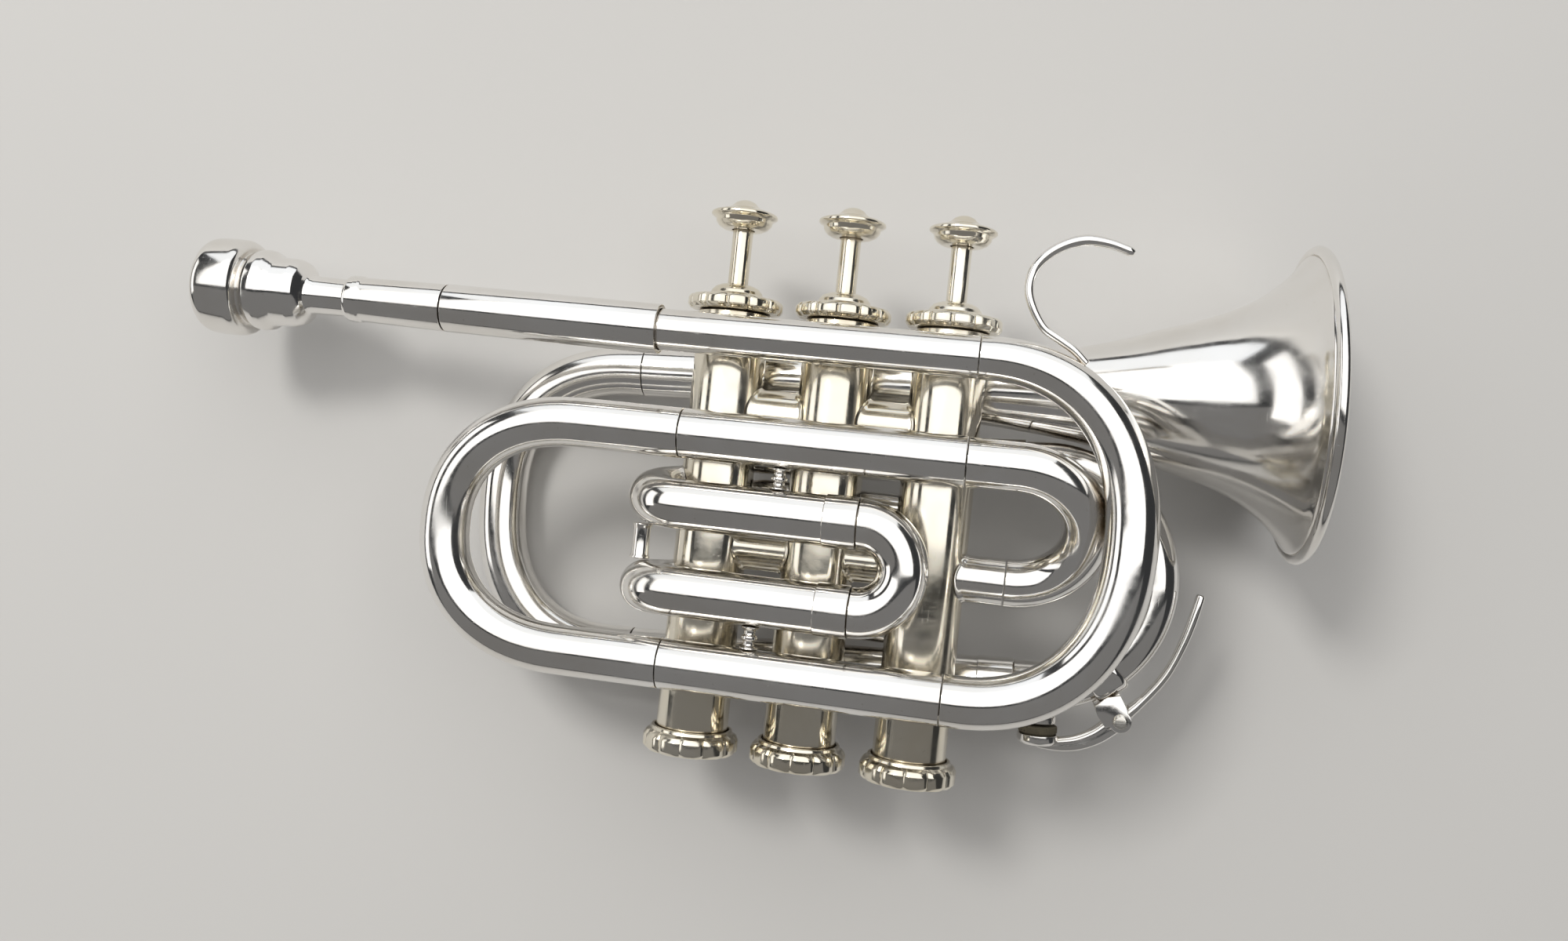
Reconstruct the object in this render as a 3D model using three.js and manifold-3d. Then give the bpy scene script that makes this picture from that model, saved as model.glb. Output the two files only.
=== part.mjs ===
// Pocket trumpet, lying on its bell side.
// Millimetres. Inside the group "trumpet": X runs from the mouthpiece to the bell, Y runs along
// the valves towards the finger buttons, Z runs towards the player's right-hand side.
// The group is then turned so that the trumpet rests on the floor plane z = 0.
import * as THREE from 'three';
import Module from 'manifold-3d';
import { mergeVertices } from 'three/addons/utils/BufferGeometryUtils.js';

const wasm = await Module();
wasm.setup();

// ---------------------------------------------------------------- driving dimensions
const GAP = 0.3;            // clearance between neighbouring pieces
const PITCH = 28;           // valve spacing
const NZ = 17;              // plane of the right-hand tubes
const FZ = -17;             // plane of the left-hand tubes
const R_CASE = 9.2, R_BORE = 8.35;
const CASE_TOP = 57.7, CASE_BOT = -49.9;
const R_MAIN = 6.2, R_MAIN_IN = 5.4;
const R_LEAD = 5.1;
const Y_LEAD = 50.6, Y_MID = 25.7, Y_BOT = -31.0;
const Y_S1U = 8.25, Y_S1L = -13.05;        // first slide legs
const S1_RISE = 3.2;                       // how much higher its upper port sits
const Y_S3U = 10.6, Y_S3L = -18.0;         // third slide legs
const Y_S2U = 0.5, Y_S2L = -8.0;           // second slide legs
const Y_INLET = -2.9;                      // way into the third valve
const FAR_TURN = 0.045;     // the whole left-hand run rises slightly towards the bell
const Y_FTOP = 24.8, Y_FBOT = -32.0;       // left-hand run of the tuning slide, before that turn
const BELL_START = new THREE.Vector3(-52.3, 44.2, -17);
const BELL_DIR = new THREE.Vector3(1, -0.0035, -0.0149).normalize();

// ---------------------------------------------------------------- materials
function metal(color, roughness = 0.16) {
  return new THREE.MeshStandardMaterial({ color, roughness, metalness: 1 });
}
const SILVER = 0xd9d6cf, WARM = 0xd6c79a, STEEL = 0xb9bcc0;
const FELT = new THREE.MeshStandardMaterial({ color: 0x7a1c1c, roughness: 0.95, metalness: 0 });
const CORK = new THREE.MeshStandardMaterial({ color: 0xb98a5a, roughness: 0.9, metalness: 0 });

const trumpet = new THREE.Group();

function place(name, geometry, material) {
  const mesh = new THREE.Mesh(geometry, material);
  mesh.name = name;
  trumpet.add(mesh);
  return mesh;
}

// ---------------------------------------------------------------- solids and booleans
function toManifold(geometry) {
  const g = geometry.clone();
  g.deleteAttribute('normal');
  g.deleteAttribute('uv');
  const m = mergeVertices(g, 1e-4);
  return new wasm.Manifold(new wasm.Mesh({
    numProp: 3,
    vertProperties: new Float32Array(m.attributes.position.array),
    triVerts: new Uint32Array(m.index.array),
  }));
}

function fromManifold(solid) {
  const mesh = solid.getMesh();
  const g = new THREE.BufferGeometry();
  g.setAttribute('position', new THREE.BufferAttribute(new Float32Array(mesh.vertProperties), 3));
  g.setIndex(new THREE.BufferAttribute(new Uint32Array(mesh.triVerts), 1));
  g.computeVertexNormals();
  return g;
}

function join(...gs) {
  let s = toManifold(gs[0]);
  for (let i = 1; i < gs.length; i++) s = s.add(toManifold(gs[i]));
  return fromManifold(s);
}

function cut(g, ...tools) {
  let s = toManifold(g);
  for (const t of tools) s = s.subtract(toManifold(t));
  return fromManifold(s);
}

function cutJoin(g, tools, adds) {
  let s = toManifold(g);
  for (const a of adds) s = s.add(toManifold(a));
  for (const t of tools) s = s.subtract(toManifold(t));
  return fromManifold(s);
}

// ---------------------------------------------------------------- basic forms
// Profile points are [radius, position along the axis]; the axis is +Y.
function lathe(points, segments = 16) {
  let area = 0;
  points.forEach(([r, y], i) => {
    const [r2, y2] = points[(i + 1) % points.length];
    area += r * y2 - r2 * y;
  });
  const profile = area < 0 ? [...points].reverse() : points;
  return new THREE.LatheGeometry(profile.map(([r, y]) => new THREE.Vector2(r, y)), segments);
}

// Turns a +Y form so that its axis runs from a along direction d.
function along(g, a, d) {
  const q = new THREE.Quaternion().setFromUnitVectors(new THREE.Vector3(0, 1, 0), d.clone().normalize());
  g.applyQuaternion(q);
  g.translate(a.x, a.y, a.z);
  return g;
}

function ringProfile(ro, ri, y0, y1) {
  return [[ri, y0], [ro, y0], [ro, y1], [ri, y1], [ri, y0]];
}

// Straight hollow tube between two points.
function tube(a, b, ro, ri, segments = 14) {
  const d = b.clone().sub(a);
  return along(lathe(ringProfile(ro, ri, 0, d.length()), segments), a, d);
}

function rod(a, b, r, segments = 10) {
  const d = b.clone().sub(a);
  return along(lathe([[0, 0], [r, 0], [r, d.length()], [0, d.length()]], segments), a, d);
}

const v = (x, y, z) => new THREE.Vector3(x, y, z);
const far = (g) => { g.rotateZ(FAR_TURN); return g; };

// A route through listed points, sampled exactly at those points.
class Route extends THREE.Curve {
  constructor(points) { super(); this.points = points; }
  getPoint(t, target = new THREE.Vector3()) {
    const n = this.points.length - 1;
    const k = Math.min(n - 1, Math.floor(t * n + 1e-7));
    return target.lerpVectors(this.points[k], this.points[k + 1], t * n - k);
  }
  getPointAt(u, target) { return this.getPoint(u, target); }
  getTangent(t, target = new THREE.Vector3()) {
    const n = this.points.length - 1;
    const i = Math.round(t * n);
    target.set(0, 0, 0);
    if (i > 0) target.add(this.points[i].clone().sub(this.points[i - 1]).normalize());
    if (i < n) target.add(this.points[i + 1].clone().sub(this.points[i]).normalize());
    return target.normalize();
  }
  getTangentAt(u, target) { return this.getTangent(u, target); }
}

function circlePoints(r, n) {
  const out = [];
  for (let i = 0; i < n; i++) out.push(new THREE.Vector2(r * Math.cos((2 * Math.PI * i) / n), r * Math.sin((2 * Math.PI * i) / n)));
  return out;
}

// Hollow (or, with ri = 0, solid) bent tube; scale(i, n) changes the radius along it.
function pipe(points, ro, ri, scale = null, sides = 12, inner = 8) {
  const shape = new THREE.Shape(circlePoints(ro, sides));
  if (ri > 0) shape.holes.push(new THREE.Path(circlePoints(ri, inner)));
  const n = points.length - 1;
  const g = new THREE.ExtrudeGeometry(shape, { steps: n, extrudePath: new Route(points), curveSegments: sides });
  if (scale) {
    const p = g.attributes.position;
    const q = new THREE.Vector3();
    for (let i = 0; i < p.count; i++) {
      q.fromBufferAttribute(p, i);
      let best = 0, dist = Infinity;
      for (let k = 0; k <= n; k++) {
        const d = q.distanceTo(points[k]);
        if (d < dist) { dist = d; best = k; }
      }
      q.sub(points[best]).multiplyScalar(scale(best, n)).add(points[best]);
      p.setXYZ(i, q.x, q.y, q.z);
    }
  }
  return g;
}

// Half of a rounded loop in the XY plane, from (cx, cy + b) round to (cx, cy - b).
// side +1 bulges towards +X, -1 towards -X.
function halfLoop(cx, cy, a, b, power, steps, side, z) {
  const out = [];
  for (let i = 0; i <= steps; i++) {
    const t = Math.PI / 2 - (Math.PI * i) / steps;
    const c = Math.cos(t), s = Math.sin(t);
    const x = a * Math.pow(Math.max(0, Math.abs(c)), 2 / power);
    const y = b * Math.sign(s) * Math.pow(Math.abs(s), 2 / power);
    out.push(v(cx + side * (i === 0 || i === steps ? 0 : x), cy + y, typeof z === 'function' ? z(i / steps) : z));
  }
  return out;
}

// ---------------------------------------------------------------- mouthpiece and leadpipe
// The leadpipe line rises very slightly towards the mouthpiece.
const LEAD_DIR = v(1, -0.01, 0).normalize();
const lead = (x) => v(x, Y_LEAD - 0.01 * (x + 42), NZ);
place('mouthpiece', along(lathe([
  [8.2, 0.9], [7.8, 3.2], [6.4, 7.6], [4.0, 11.0], [2.0, 14.5], [2.6, 24.0], [3.8, 49.0],
  [4.4, 49.0], [4.7, 38.6], [4.9, 28.4], [5.9, 27.6], [8.0, 26.2], [8.8, 24.0], [8.9, 18.6],
  [10.1, 17.2], [10.4, 15.6], [10.1, 13.8], [9.2, 12.8], [9.2, 11.9], [11.6, 11.2], [12.4, 9.8], [12.4, 2.2], [11.7, 0.7],
  [10.5, 0.0], [9.0, 0.1], [8.2, 0.9],
], 14), lead(-163.6), LEAD_DIR), metal(SILVER, 0.12));

place('mouthpiece_receiver', along(lathe([
  [5.25, 0], [5.7, 0], [5.9, 1.2], [5.9, 3.4], [5.65, 4.2], [5.95, 26.2], [4.9, 26.2], [4.9, 12.0], [5.25, 0],
], 14), lead(-124.8), LEAD_DIR), metal(SILVER));

place('leadpipe_sleeve', along(lathe([
  [5.15, 0], [6.0, 0], [6.15, 55.7], [5.15, 55.7], [5.15, 0],
], 14), lead(-98.2), LEAD_DIR), metal(SILVER));

place('leadpipe', tube(v(-42.1, Y_LEAD, NZ), v(35.7, Y_LEAD, NZ), R_LEAD, 4.4), metal(SILVER));

// ---------------------------------------------------------------- right-hand run
const rightBow = halfLoop(38, 9.8, 36.9, 40.8, 2.25, 13, 1, NZ);
place('front_bow', pipe([v(36.0, Y_LEAD, NZ), ...rightBow, v(35.3, Y_BOT, NZ)], 6.2, 5.4,
  (i, n) => 0.84 + 0.17 * Math.min(1, i / (0.42 * n))), metal(SILVER));
place('bottom_tube', tube(v(-33.5, Y_BOT, NZ), v(35.0, Y_BOT, NZ), R_MAIN, R_MAIN_IN), metal(SILVER));
place('rear_crook', pipe([v(-34.3, Y_MID, NZ), ...halfLoop(-60, -2.65, 33.1, 28.35, 2.25, 13, -1, NZ), v(-33.8, Y_BOT, NZ)], 6.2, 5.4),
  metal(SILVER));
place('middle_tube', tube(v(-34.0, Y_MID, NZ), v(35.3, Y_MID, NZ), R_MAIN, R_MAIN_IN), metal(SILVER));

const ease = (t) => t * t * (3 - 2 * t);
const inletBow = halfLoop(48.0, 11.4, 17.2, 14.3, 2.0, 12, 1, (t) => NZ * (1 - ease(Math.min(1, Math.max(0, (t - 0.03) / 0.85)))));
place('inlet_bow', pipe([v(35.6, Y_MID, NZ), v(42, Y_MID, NZ), ...inletBow, v(47.2, Y_INLET, 0)], 6.0, 5.2), metal(SILVER));
const caseBody = (x, extra = GAP) => rod(v(x, CASE_BOT - 5, 0), v(x, CASE_TOP + 5, 0), R_CASE + extra, 24);
place('inlet_tube', cut(tube(v(30, Y_INLET, 0), v(46.9, Y_INLET, 0), 5.9, 4.9), caseBody(PITCH)), metal(SILVER));

// ---------------------------------------------------------------- valves
const valveX = [-PITCH, 0, PITCH];
const port = (x, y, dir, r = 4.5) => rod(v(x, y, 0), v(x, y, 0).add(dir.clone().multiplyScalar(14)), r, 10);
const PX = v(1, 0, 0), MX = v(-1, 0, 0), MZ = v(0, 0, -1);
const ports = [
  [port(-28, 33, PX), port(-28, -1, PX), port(-28, Y_S1U + S1_RISE, MX), port(-28, Y_S1L, MX), port(-28, 23.57, MZ)],
  [port(0, 33, MX), port(0, 33, PX), port(0, -1, MX), port(0, -1, PX), port(0, Y_S2U, MZ, 3.4), port(0, Y_S2L, MZ, 3.4)],
  [port(28, 33, MX), port(28, -1, MX), port(28, Y_INLET, PX), port(28, Y_S3U, MZ), port(28, Y_S3L, MZ)],
];
for (let i = 0; i < 3; i++) {
  const x = valveX[i], n = i + 1;
  const at = (g) => { g.translate(x, 0, 0); return g; };
  place(`valve_${n}_casing`, cut(at(lathe(ringProfile(R_CASE, R_BORE, CASE_BOT, CASE_TOP), 18)), ...ports[i]), metal(WARM, 0.2));
  place(`valve_${n}_top_cap`, at(lathe([
    [3.1, 65.0], [3.1, 58.0], [6.9, 58.0], [6.9, 52.0], [8.0, 52.0], [8.0, 58.0], [11.4, 58.05], [12.2, 59.0], [12.2, 60.7],
    [11.4, 61.6], [7.0, 62.2], [6.6, 64.2], [5.6, 65.0], [3.1, 65.0],
  ], 16)), metal(WARM, 0.22));
  place(`valve_${n}_bottom_cap`, at(lathe([
    [1.3, -54.8], [11.3, -54.8], [12.2, -53.6], [12.2, -50.5], [11.6, -49.2],
    [10.4, -48.7], [9.55, -48.7], [9.55, -50.2], [8.1, -50.2], [8.1, -53.2], [1.3, -53.2], [1.3, -54.8],
  ], 16)), metal(WARM, 0.22));
  // Piston: thin shell, spring barrel, stem, two cross passages.
  const solidBody = at(lathe([
    [0, -36.0], [8.05, -36.0], [8.05, 45.0], [6.4, 46.0], [6.4, 54.9], [2.6, 54.9], [2.6, 82.0], [0, 82.0],
  ], 14));
  const pocketLow = at(lathe([[0, -36.5], [7.15, -36.5], [7.15, -23.0], [0, -23.0]], 14));
  const ventTop = at(lathe([[0, -21.5], [7.15, -21.5], [7.15, 44.0], [5.6, 45.2], [5.6, 53.6], [0, 53.6]], 14));
  const passOuter = (y) => rod(v(x - 7.9, y, 0), v(x + 7.9, y, 0), 4.6, 10);
  const passInner = (y) => rod(v(x - 9, y, 0), v(x + 9, y, 0), 4.0, 10);
  // Slots in the spring barrel keep the inside open to the air.
  const slot = new THREE.BoxGeometry(2.0, 5.0, 14); slot.translate(x, 49.6, 0);
  let s = toManifold(solidBody).subtract(toManifold(pocketLow));
  s = s.subtract(toManifold(ventTop).subtract(toManifold(passOuter(33))).subtract(toManifold(passOuter(-1))));
  s = s.subtract(toManifold(passInner(33))).subtract(toManifold(passInner(-1))).subtract(toManifold(slot));
  place(`valve_${n}_piston`, fromManifold(s), metal(STEEL, 0.25));
  place(`valve_${n}_button`, at(lathe([
    [0, 87.0], [2.6, 86.5], [4.4, 84.9], [8.4, 83.4], [8.6, 82.6], [7.4, 82.0],
    [7.0, 80.6], [5.4, 79.4], [2.95, 79.2], [2.95, 82.3], [0, 82.3],
  ], 16)), metal(WARM, 0.2));
  place(`valve_${n}_felt`, at(lathe(ringProfile(6.2, 3.05, 55.2, 57.7), 16)), FELT);
  // Return spring under the piston.
  const coil = [];
  const turns = 5.5, per = 6, y0 = -52.5, y1 = -23.8, rc = 5.6;
  for (let k = 0; k <= turns * per; k++) {
    const a = (2 * Math.PI * k) / per;
    coil.push(v(x + rc * Math.cos(a), y0 + ((y1 - y0) * k) / (turns * per), rc * Math.sin(a)));
  }
  place(`valve_${n}_spring`, pipe(coil, 0.5, 0, null, 4), metal(STEEL, 0.3));
}

// Short tubes between neighbouring casings.
const knuckle = (x, y) => {
  const g = along(lathe(ringProfile(6.0, 4.6, -8, 8), 14),
    v(x, y, 0), v(1, 0, 0));
  return cut(g, caseBody(x - 14), caseBody(x + 14));
};
place('knuckle_12_upper', knuckle(-14, 33), metal(WARM, 0.2));
place('knuckle_12_lower', knuckle(-14, -1), metal(WARM, 0.2));
place('knuckle_23_upper', knuckle(14, 33), metal(WARM, 0.2));
place('knuckle_23_lower', knuckle(14, -1), metal(WARM, 0.2));

// ---------------------------------------------------------------- first valve slide (right-hand side)
function elbowXZ(cx, y, zc, r, a0, a1, steps) {
  const out = [];
  for (let i = 0; i <= steps; i++) {
    const a = a0 + ((a1 - a0) * i) / steps;
    out.push(v(cx + r * Math.cos(a), y, zc + r * Math.sin(a)));
  }
  return out;
}
function firstLeg(y, rise) {
  const pts = [v(-27, y, 0), ...elbowXZ(-33.4, y, 8.5, 8.5, -Math.PI / 2, -3 * Math.PI / 2, 8), v(11.2, y, NZ)];
  pts.forEach((p) => { p.y += rise * (1 - p.z / NZ); });
  const leg = pipe(pts, 6.2, 5.6, null, 12, 12);
  const collar = tube(v(3.1, y, NZ), v(11.2, y, NZ), 6.5, 5.6, 12);
  return cutJoin(leg, [caseBody(-PITCH)], [collar]);
}
place('first_slide_upper_leg', firstLeg(Y_S1U, S1_RISE), metal(SILVER));
place('first_slide_lower_leg', firstLeg(Y_S1L, 0), metal(SILVER));
const s1c = (Y_S1U + Y_S1L) / 2, s1r = (Y_S1U - Y_S1L) / 2;
place('first_slide_bow', join(
  pipe(halfLoop(12.4, s1c, s1r, s1r, 2.0, 10, 1, NZ).concat([v(11.5, Y_S1L, NZ)]).reverse().concat([v(11.5, Y_S1U, NZ)]), 6.2, 4.9, null, 12, 8),
  tube(v(-31, Y_S1U, NZ), v(12.7, Y_S1U, NZ), 5.1, 4.5, 12), tube(v(-31, Y_S1L, NZ), v(12.7, Y_S1L, NZ), 5.1, 4.5, 12)), metal(SILVER));
place('first_slide_stay', rod(v(-43.6, -6.5, 10.4), v(-43.6, 2.3, 10.4), 2.0, 14), metal(SILVER));
place('upper_brace', rod(v(-9.0, Y_S1U + 6.55, NZ), v(-9.0, Y_MID - 6.55, NZ), 1.7), metal(SILVER));
place('lower_brace', rod(v(-12.3, Y_BOT + 6.55, NZ), v(-12.3, Y_S1L - 6.55, NZ), 1.7), metal(SILVER));

// ---------------------------------------------------------------- third valve slide (left-hand side)
function thirdLeg(y) {
  const pts = [v(28, y, -6), ...elbowXZ(20.4, y, -9.4, 7.6, 0, -Math.PI / 2, 6), v(-11.0, y, FZ)];
  return cut(pipe(pts, 5.5, 5.0, null, 12, 12), caseBody(PITCH));
}
place('third_slide_upper_leg', thirdLeg(Y_S3U), metal(SILVER));
place('third_slide_lower_leg', thirdLeg(Y_S3L), metal(SILVER));
const s3c = (Y_S3U + Y_S3L) / 2, s3r = (Y_S3U - Y_S3L) / 2;
place('third_slide_bow', join(
  pipe([v(-11.3, Y_S3U, FZ), ...halfLoop(-17.4, s3c, s3r, s3r, 2.0, 10, -1, FZ), v(-11.3, Y_S3L, FZ)], 5.5, 4.3),
  tube(v(-13.5, Y_S3U, FZ), v(18, Y_S3U, FZ), 4.5, 3.9, 12), tube(v(-13.5, Y_S3L, FZ), v(18, Y_S3L, FZ), 4.5, 3.9, 12)), metal(SILVER));

// ---------------------------------------------------------------- second valve slide (left-hand side)
const secondLeg = (y) => cut(tube(v(0, y, -8), v(0, y, -24), 4.0, 3.5, 14), caseBody(0));
place('second_slide_upper_leg', secondLeg(Y_S2U), metal(SILVER));
place('second_slide_lower_leg', secondLeg(Y_S2L), metal(SILVER));
const s2c = (Y_S2U + Y_S2L) / 2, s2r = (Y_S2U - Y_S2L) / 2;
const s2bow = [];
for (let i = 0; i <= 6; i++) {
  const a = Math.PI / 2 - (Math.PI * i) / 6;
  s2bow.push(v(0, s2c + s2r * Math.sin(a), -25.2 - s2r * Math.cos(a)));
}
place('second_slide_bow', join(
  pipe([v(0, Y_S2U, -24.3), ...s2bow, v(0, Y_S2L, -24.3)], 4.0, 2.8),
  tube(v(0, Y_S2U, -11.5), v(0, Y_S2U, -25.2), 3.1, 2.6, 12), tube(v(0, Y_S2L, -11.5), v(0, Y_S2L, -25.2), 3.1, 2.6, 12)), metal(SILVER));

// ---------------------------------------------------------------- main tuning slide and left-hand run
place('tuning_upper_leg', cut(far(pipe([v(-26.9, Y_FTOP, -6), ...elbowXZ(-19.3, Y_FTOP, -9.4, 7.6, Math.PI, 1.5 * Math.PI, 6),
  v(50.2, Y_FTOP, FZ)], 6.4, 5.8, null, 12, 12)), caseBody(-PITCH)), metal(SILVER));
place('tuning_lower_leg', far(tube(v(-51.6, Y_FBOT, FZ), v(50.2, Y_FBOT, FZ), 6.4, 5.8, 12)), metal(SILVER));
const tc = (Y_FTOP + Y_FBOT) / 2, tr = (Y_FTOP - Y_FBOT) / 2;
const nippleHole = rod(v(57.5, Y_FBOT, FZ), v(57.5, -46, FZ), 1.8, 10);
place('tuning_bow', far(cutJoin(
  pipe([v(50.5, Y_FTOP, FZ), ...halfLoop(56.4, tc, 28.0, tr, 2.0, 13, 1, FZ), v(50.5, Y_FBOT, FZ)], 6.2, 5.1),
  [nippleHole],
  [tube(v(18, Y_FTOP, FZ), v(52.5, Y_FTOP, FZ), 5.3, 4.7, 12), tube(v(18, Y_FBOT, FZ), v(52.5, Y_FBOT, FZ), 5.3, 4.7, 12),
    rod(v(57.5, Y_FBOT - 5.6, FZ), v(57.5, -41.6, FZ), 4.6, 14)])), metal(SILVER));
place('left_bow', far(pipe([v(-52.6, BELL_START.y, FZ), ...halfLoop(-55.5, 6.1, 36.0, 38.1, 2.4, 13, -1, FZ), v(-51.9, Y_FBOT, FZ)], 6.6, 5.7)),
  metal(SILVER));

// ---------------------------------------------------------------- bell
const BELL = [[6.75, 0], [6.95, 46.5], [8.05, 75], [9.0, 88], [10.4, 101.5], [12.5, 115.5], [17.5, 134],
  [22.5, 150.5], [25.6, 156.6], [28.9, 161.3], [32.2, 164.9], [35.4, 167.9], [37.5, 169.4], [38.5, 169.5]];
const bellProfile = [...BELL, [39.8, 169.5], [40.6, 170.6], [40.6, 171.9], [39.8, 173.0],
  [38.6, 173.1], [37.8, 172.2], [34.8, 169.1], [31.6, 166.0], [28.3, 162.4], [24.9, 157.6], [21.7, 151.3], [16.7, 134.4],
  [11.7, 115.7], [8.2, 88], [7.25, 75], [6.15, 46.5], [5.95, 0], [6.75, 0]];
place('bell', far(along(lathe(bellProfile, 30), BELL_START, BELL_DIR)), metal(SILVER, 0.12));
place('bell_brace', join(rod(v(64, 42.5, -4.9), v(64, 42.5, 10.3), 1.5), rod(v(64, 42.5, 9.0), v(64, 42.5, 10.3), 3.0, 14),
  rod(v(64, 42.5, -4.9), v(64, 42.5, -3.9), 3.0, 14)), metal(SILVER));

// ---------------------------------------------------------------- finger hook
const hook = new THREE.CatmullRomCurve3([v(54.3, 56.2, 17), v(50.0, 58.7, 17), v(46.3, 64.7, 17), v(45.5, 68.5, 17), v(46.7, 73.2, 17),
  v(50.7, 77.3, 17), v(56.8, 79.9, 17), v(62.8, 79.6, 17), v(68.8, 77.8, 17)]);
place('finger_hook', pipe(hook.getSpacedPoints(14), 1.3, 0, null, 8), metal(SILVER));

// ---------------------------------------------------------------- water key
const key = new THREE.CatmullRomCurve3([v(96.2, -5.7, FZ), v(95.0, -10.4, FZ), v(92.5, -18.3, FZ), v(88.5, -26.9, FZ), v(83.2, -33.7, FZ), v(77.8, -38.9, FZ)]);
const keyTail = new THREE.CatmullRomCurve3([v(77.8, -38.9, FZ), v(72.5, -43.7, FZ), v(65.5, -46.7, FZ), v(57.5, -46.9, FZ)]);
const lever = (curve, steps, r) => pipe(curve.getSpacedPoints(steps), r, 0, null, 8);
const cup = along(lathe([[0, 0], [4.6, 0], [5.3, 0.8], [5.3, 4.2], [4.6, 4.2], [4.6, 2.2], [0, 2.2]], 16), v(57.5, -47.2, FZ), v(0, 1, 0));
const pivot = (h, r, n) => rod(v(77.8, -38.9, FZ - h), v(77.8, -38.9, FZ + h), r, n);
place('water_key', far(cutJoin(lever(key, 10, 1.25), [pivot(8, 1.4, 12)], [lever(keyTail, 6, 1.25), cup, pivot(2.6, 2.5, 14)])), metal(SILVER));
place('water_key_cork', far(rod(v(57.5, -44.7, FZ), v(57.5, -41.95, FZ), 4.3, 14)), CORK);
place('water_key_pin', far(pivot(5.2, 1.1, 12)), metal(STEEL));
const lug = (z0, z1) => {
  const s = new THREE.Shape([new THREE.Vector2(70.9, -35.7), new THREE.Vector2(73.9, -41.3), new THREE.Vector2(78.1, -41.9),
    new THREE.Vector2(80.4, -39.5), new THREE.Vector2(79.7, -35.9), new THREE.Vector2(76.3, -32.9)]);
  const g = new THREE.ExtrudeGeometry(s, { depth: z1 - z0, bevelEnabled: false });
  g.translate(0, 0, z0);
  return g;
};
const tuningBody = pipe([v(44, Y_FTOP, FZ), ...halfLoop(56.4, tc, 28.0, tr, 2.0, 18, 1, FZ), v(44, Y_FBOT, FZ)], 6.5, 0, null, 16);
const saddlePlate = (() => {
  const s = new THREE.Shape([new THREE.Vector2(69.7, -29.9), new THREE.Vector2(71.7, -35.2), new THREE.Vector2(79.1, -34.9),
    new THREE.Vector2(79.9, -29.3), new THREE.Vector2(75.5, -25.9)]);
  const g = new THREE.ExtrudeGeometry(s, { depth: 8.8, bevelEnabled: false });
  g.translate(0, 0, FZ - 4.4);
  return g;
})();
place('water_key_saddle', far(cutJoin(saddlePlate, [tuningBody, pivot(9, 1.4, 12), pivot(2.9, 3.6, 14)],
  [lug(FZ - 4.4, FZ - 2.9), lug(FZ + 2.9, FZ + 4.4)])), metal(SILVER));

// ---------------------------------------------------------------- rest on the floor
const REST_EULER = new THREE.Euler(0, -0.174378, 0);
const REST_SHIFT = new THREE.Vector3(19.5858, -17.2690, 39.1615);
trumpet.rotation.copy(REST_EULER);
trumpet.position.copy(REST_SHIFT);

const root = new THREE.Group();
root.add(trumpet);
root.updateMatrixWorld(true);
export default root;
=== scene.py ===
import bpy
import math
import numpy as np
from mathutils import Matrix


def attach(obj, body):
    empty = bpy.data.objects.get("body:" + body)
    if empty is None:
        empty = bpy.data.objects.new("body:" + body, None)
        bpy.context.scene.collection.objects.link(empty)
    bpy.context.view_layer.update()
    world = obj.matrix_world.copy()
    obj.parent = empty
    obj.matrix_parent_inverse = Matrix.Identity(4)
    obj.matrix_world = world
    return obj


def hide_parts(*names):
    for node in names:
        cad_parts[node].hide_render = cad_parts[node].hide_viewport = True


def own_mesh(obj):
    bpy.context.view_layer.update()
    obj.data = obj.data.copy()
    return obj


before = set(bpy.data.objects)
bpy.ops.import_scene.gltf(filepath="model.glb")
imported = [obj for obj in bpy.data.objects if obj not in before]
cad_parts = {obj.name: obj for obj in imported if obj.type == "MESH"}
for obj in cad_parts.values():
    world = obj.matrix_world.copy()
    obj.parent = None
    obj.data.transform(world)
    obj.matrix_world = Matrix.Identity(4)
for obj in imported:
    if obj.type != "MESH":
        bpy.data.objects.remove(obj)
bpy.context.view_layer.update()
rng = np.random.default_rng(7)

# ------------------------------------------------------------------ the resting pose
# Dimensions below are in millimetres in the trumpet's own axes: X from the mouthpiece to the bell,
# Y along the valves towards the buttons, Z towards the player's right-hand side.
REST_TURN = -0.174378
REST_SHIFT = np.array([19.5858, -17.2690, 39.1615])
CT, ST = math.cos(REST_TURN), math.sin(REST_TURN)
TURN = np.array([[CT, 0.0, ST], [0.0, 1.0, 0.0], [-ST, 0.0, CT]])


def to_frame(p):
    return (np.asarray(p, float) @ TURN.T + REST_SHIFT) / 1000.0


def unit(v):
    v = np.asarray(v, float)
    return v / np.linalg.norm(v)


# ------------------------------------------------------------------ driving dimensions
NZ, FZ = 17.0, -17.0
R_CASE, R_BORE = 9.2, 8.35
CASE_TOP, CASE_BOT = 57.7, -49.9
R_MAIN, R_MAIN_IN = 6.2, 5.4
Y_LEAD, Y_MID, Y_BOT = 50.6, 25.7, -31.0
Y_S1U, Y_S1L = 8.25, -13.05
S1_RISE = 3.2
Y_S3U, Y_S3L = 10.6, -18.0
Y_S2U, Y_S2L = 0.5, -8.0
Y_INLET = -2.9
# The whole left-hand run rises slightly towards the bell; its own dimensions are before that turn.
FAR_TURN = 0.045
Y_FTOP, Y_FBOT = 24.8, -32.0
VALVE_X = (-28.0, 0.0, 28.0)
BELL_START = np.array([-52.3, 44.2, -17.0])
BELL_DIR = unit((1.0, -0.0035, -0.0149))
LEAD_DIR = unit((1.0, -0.01, 0.0))


def lead(x):
    return np.array([x, Y_LEAD - 0.01 * (x + 42.0), NZ])


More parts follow.
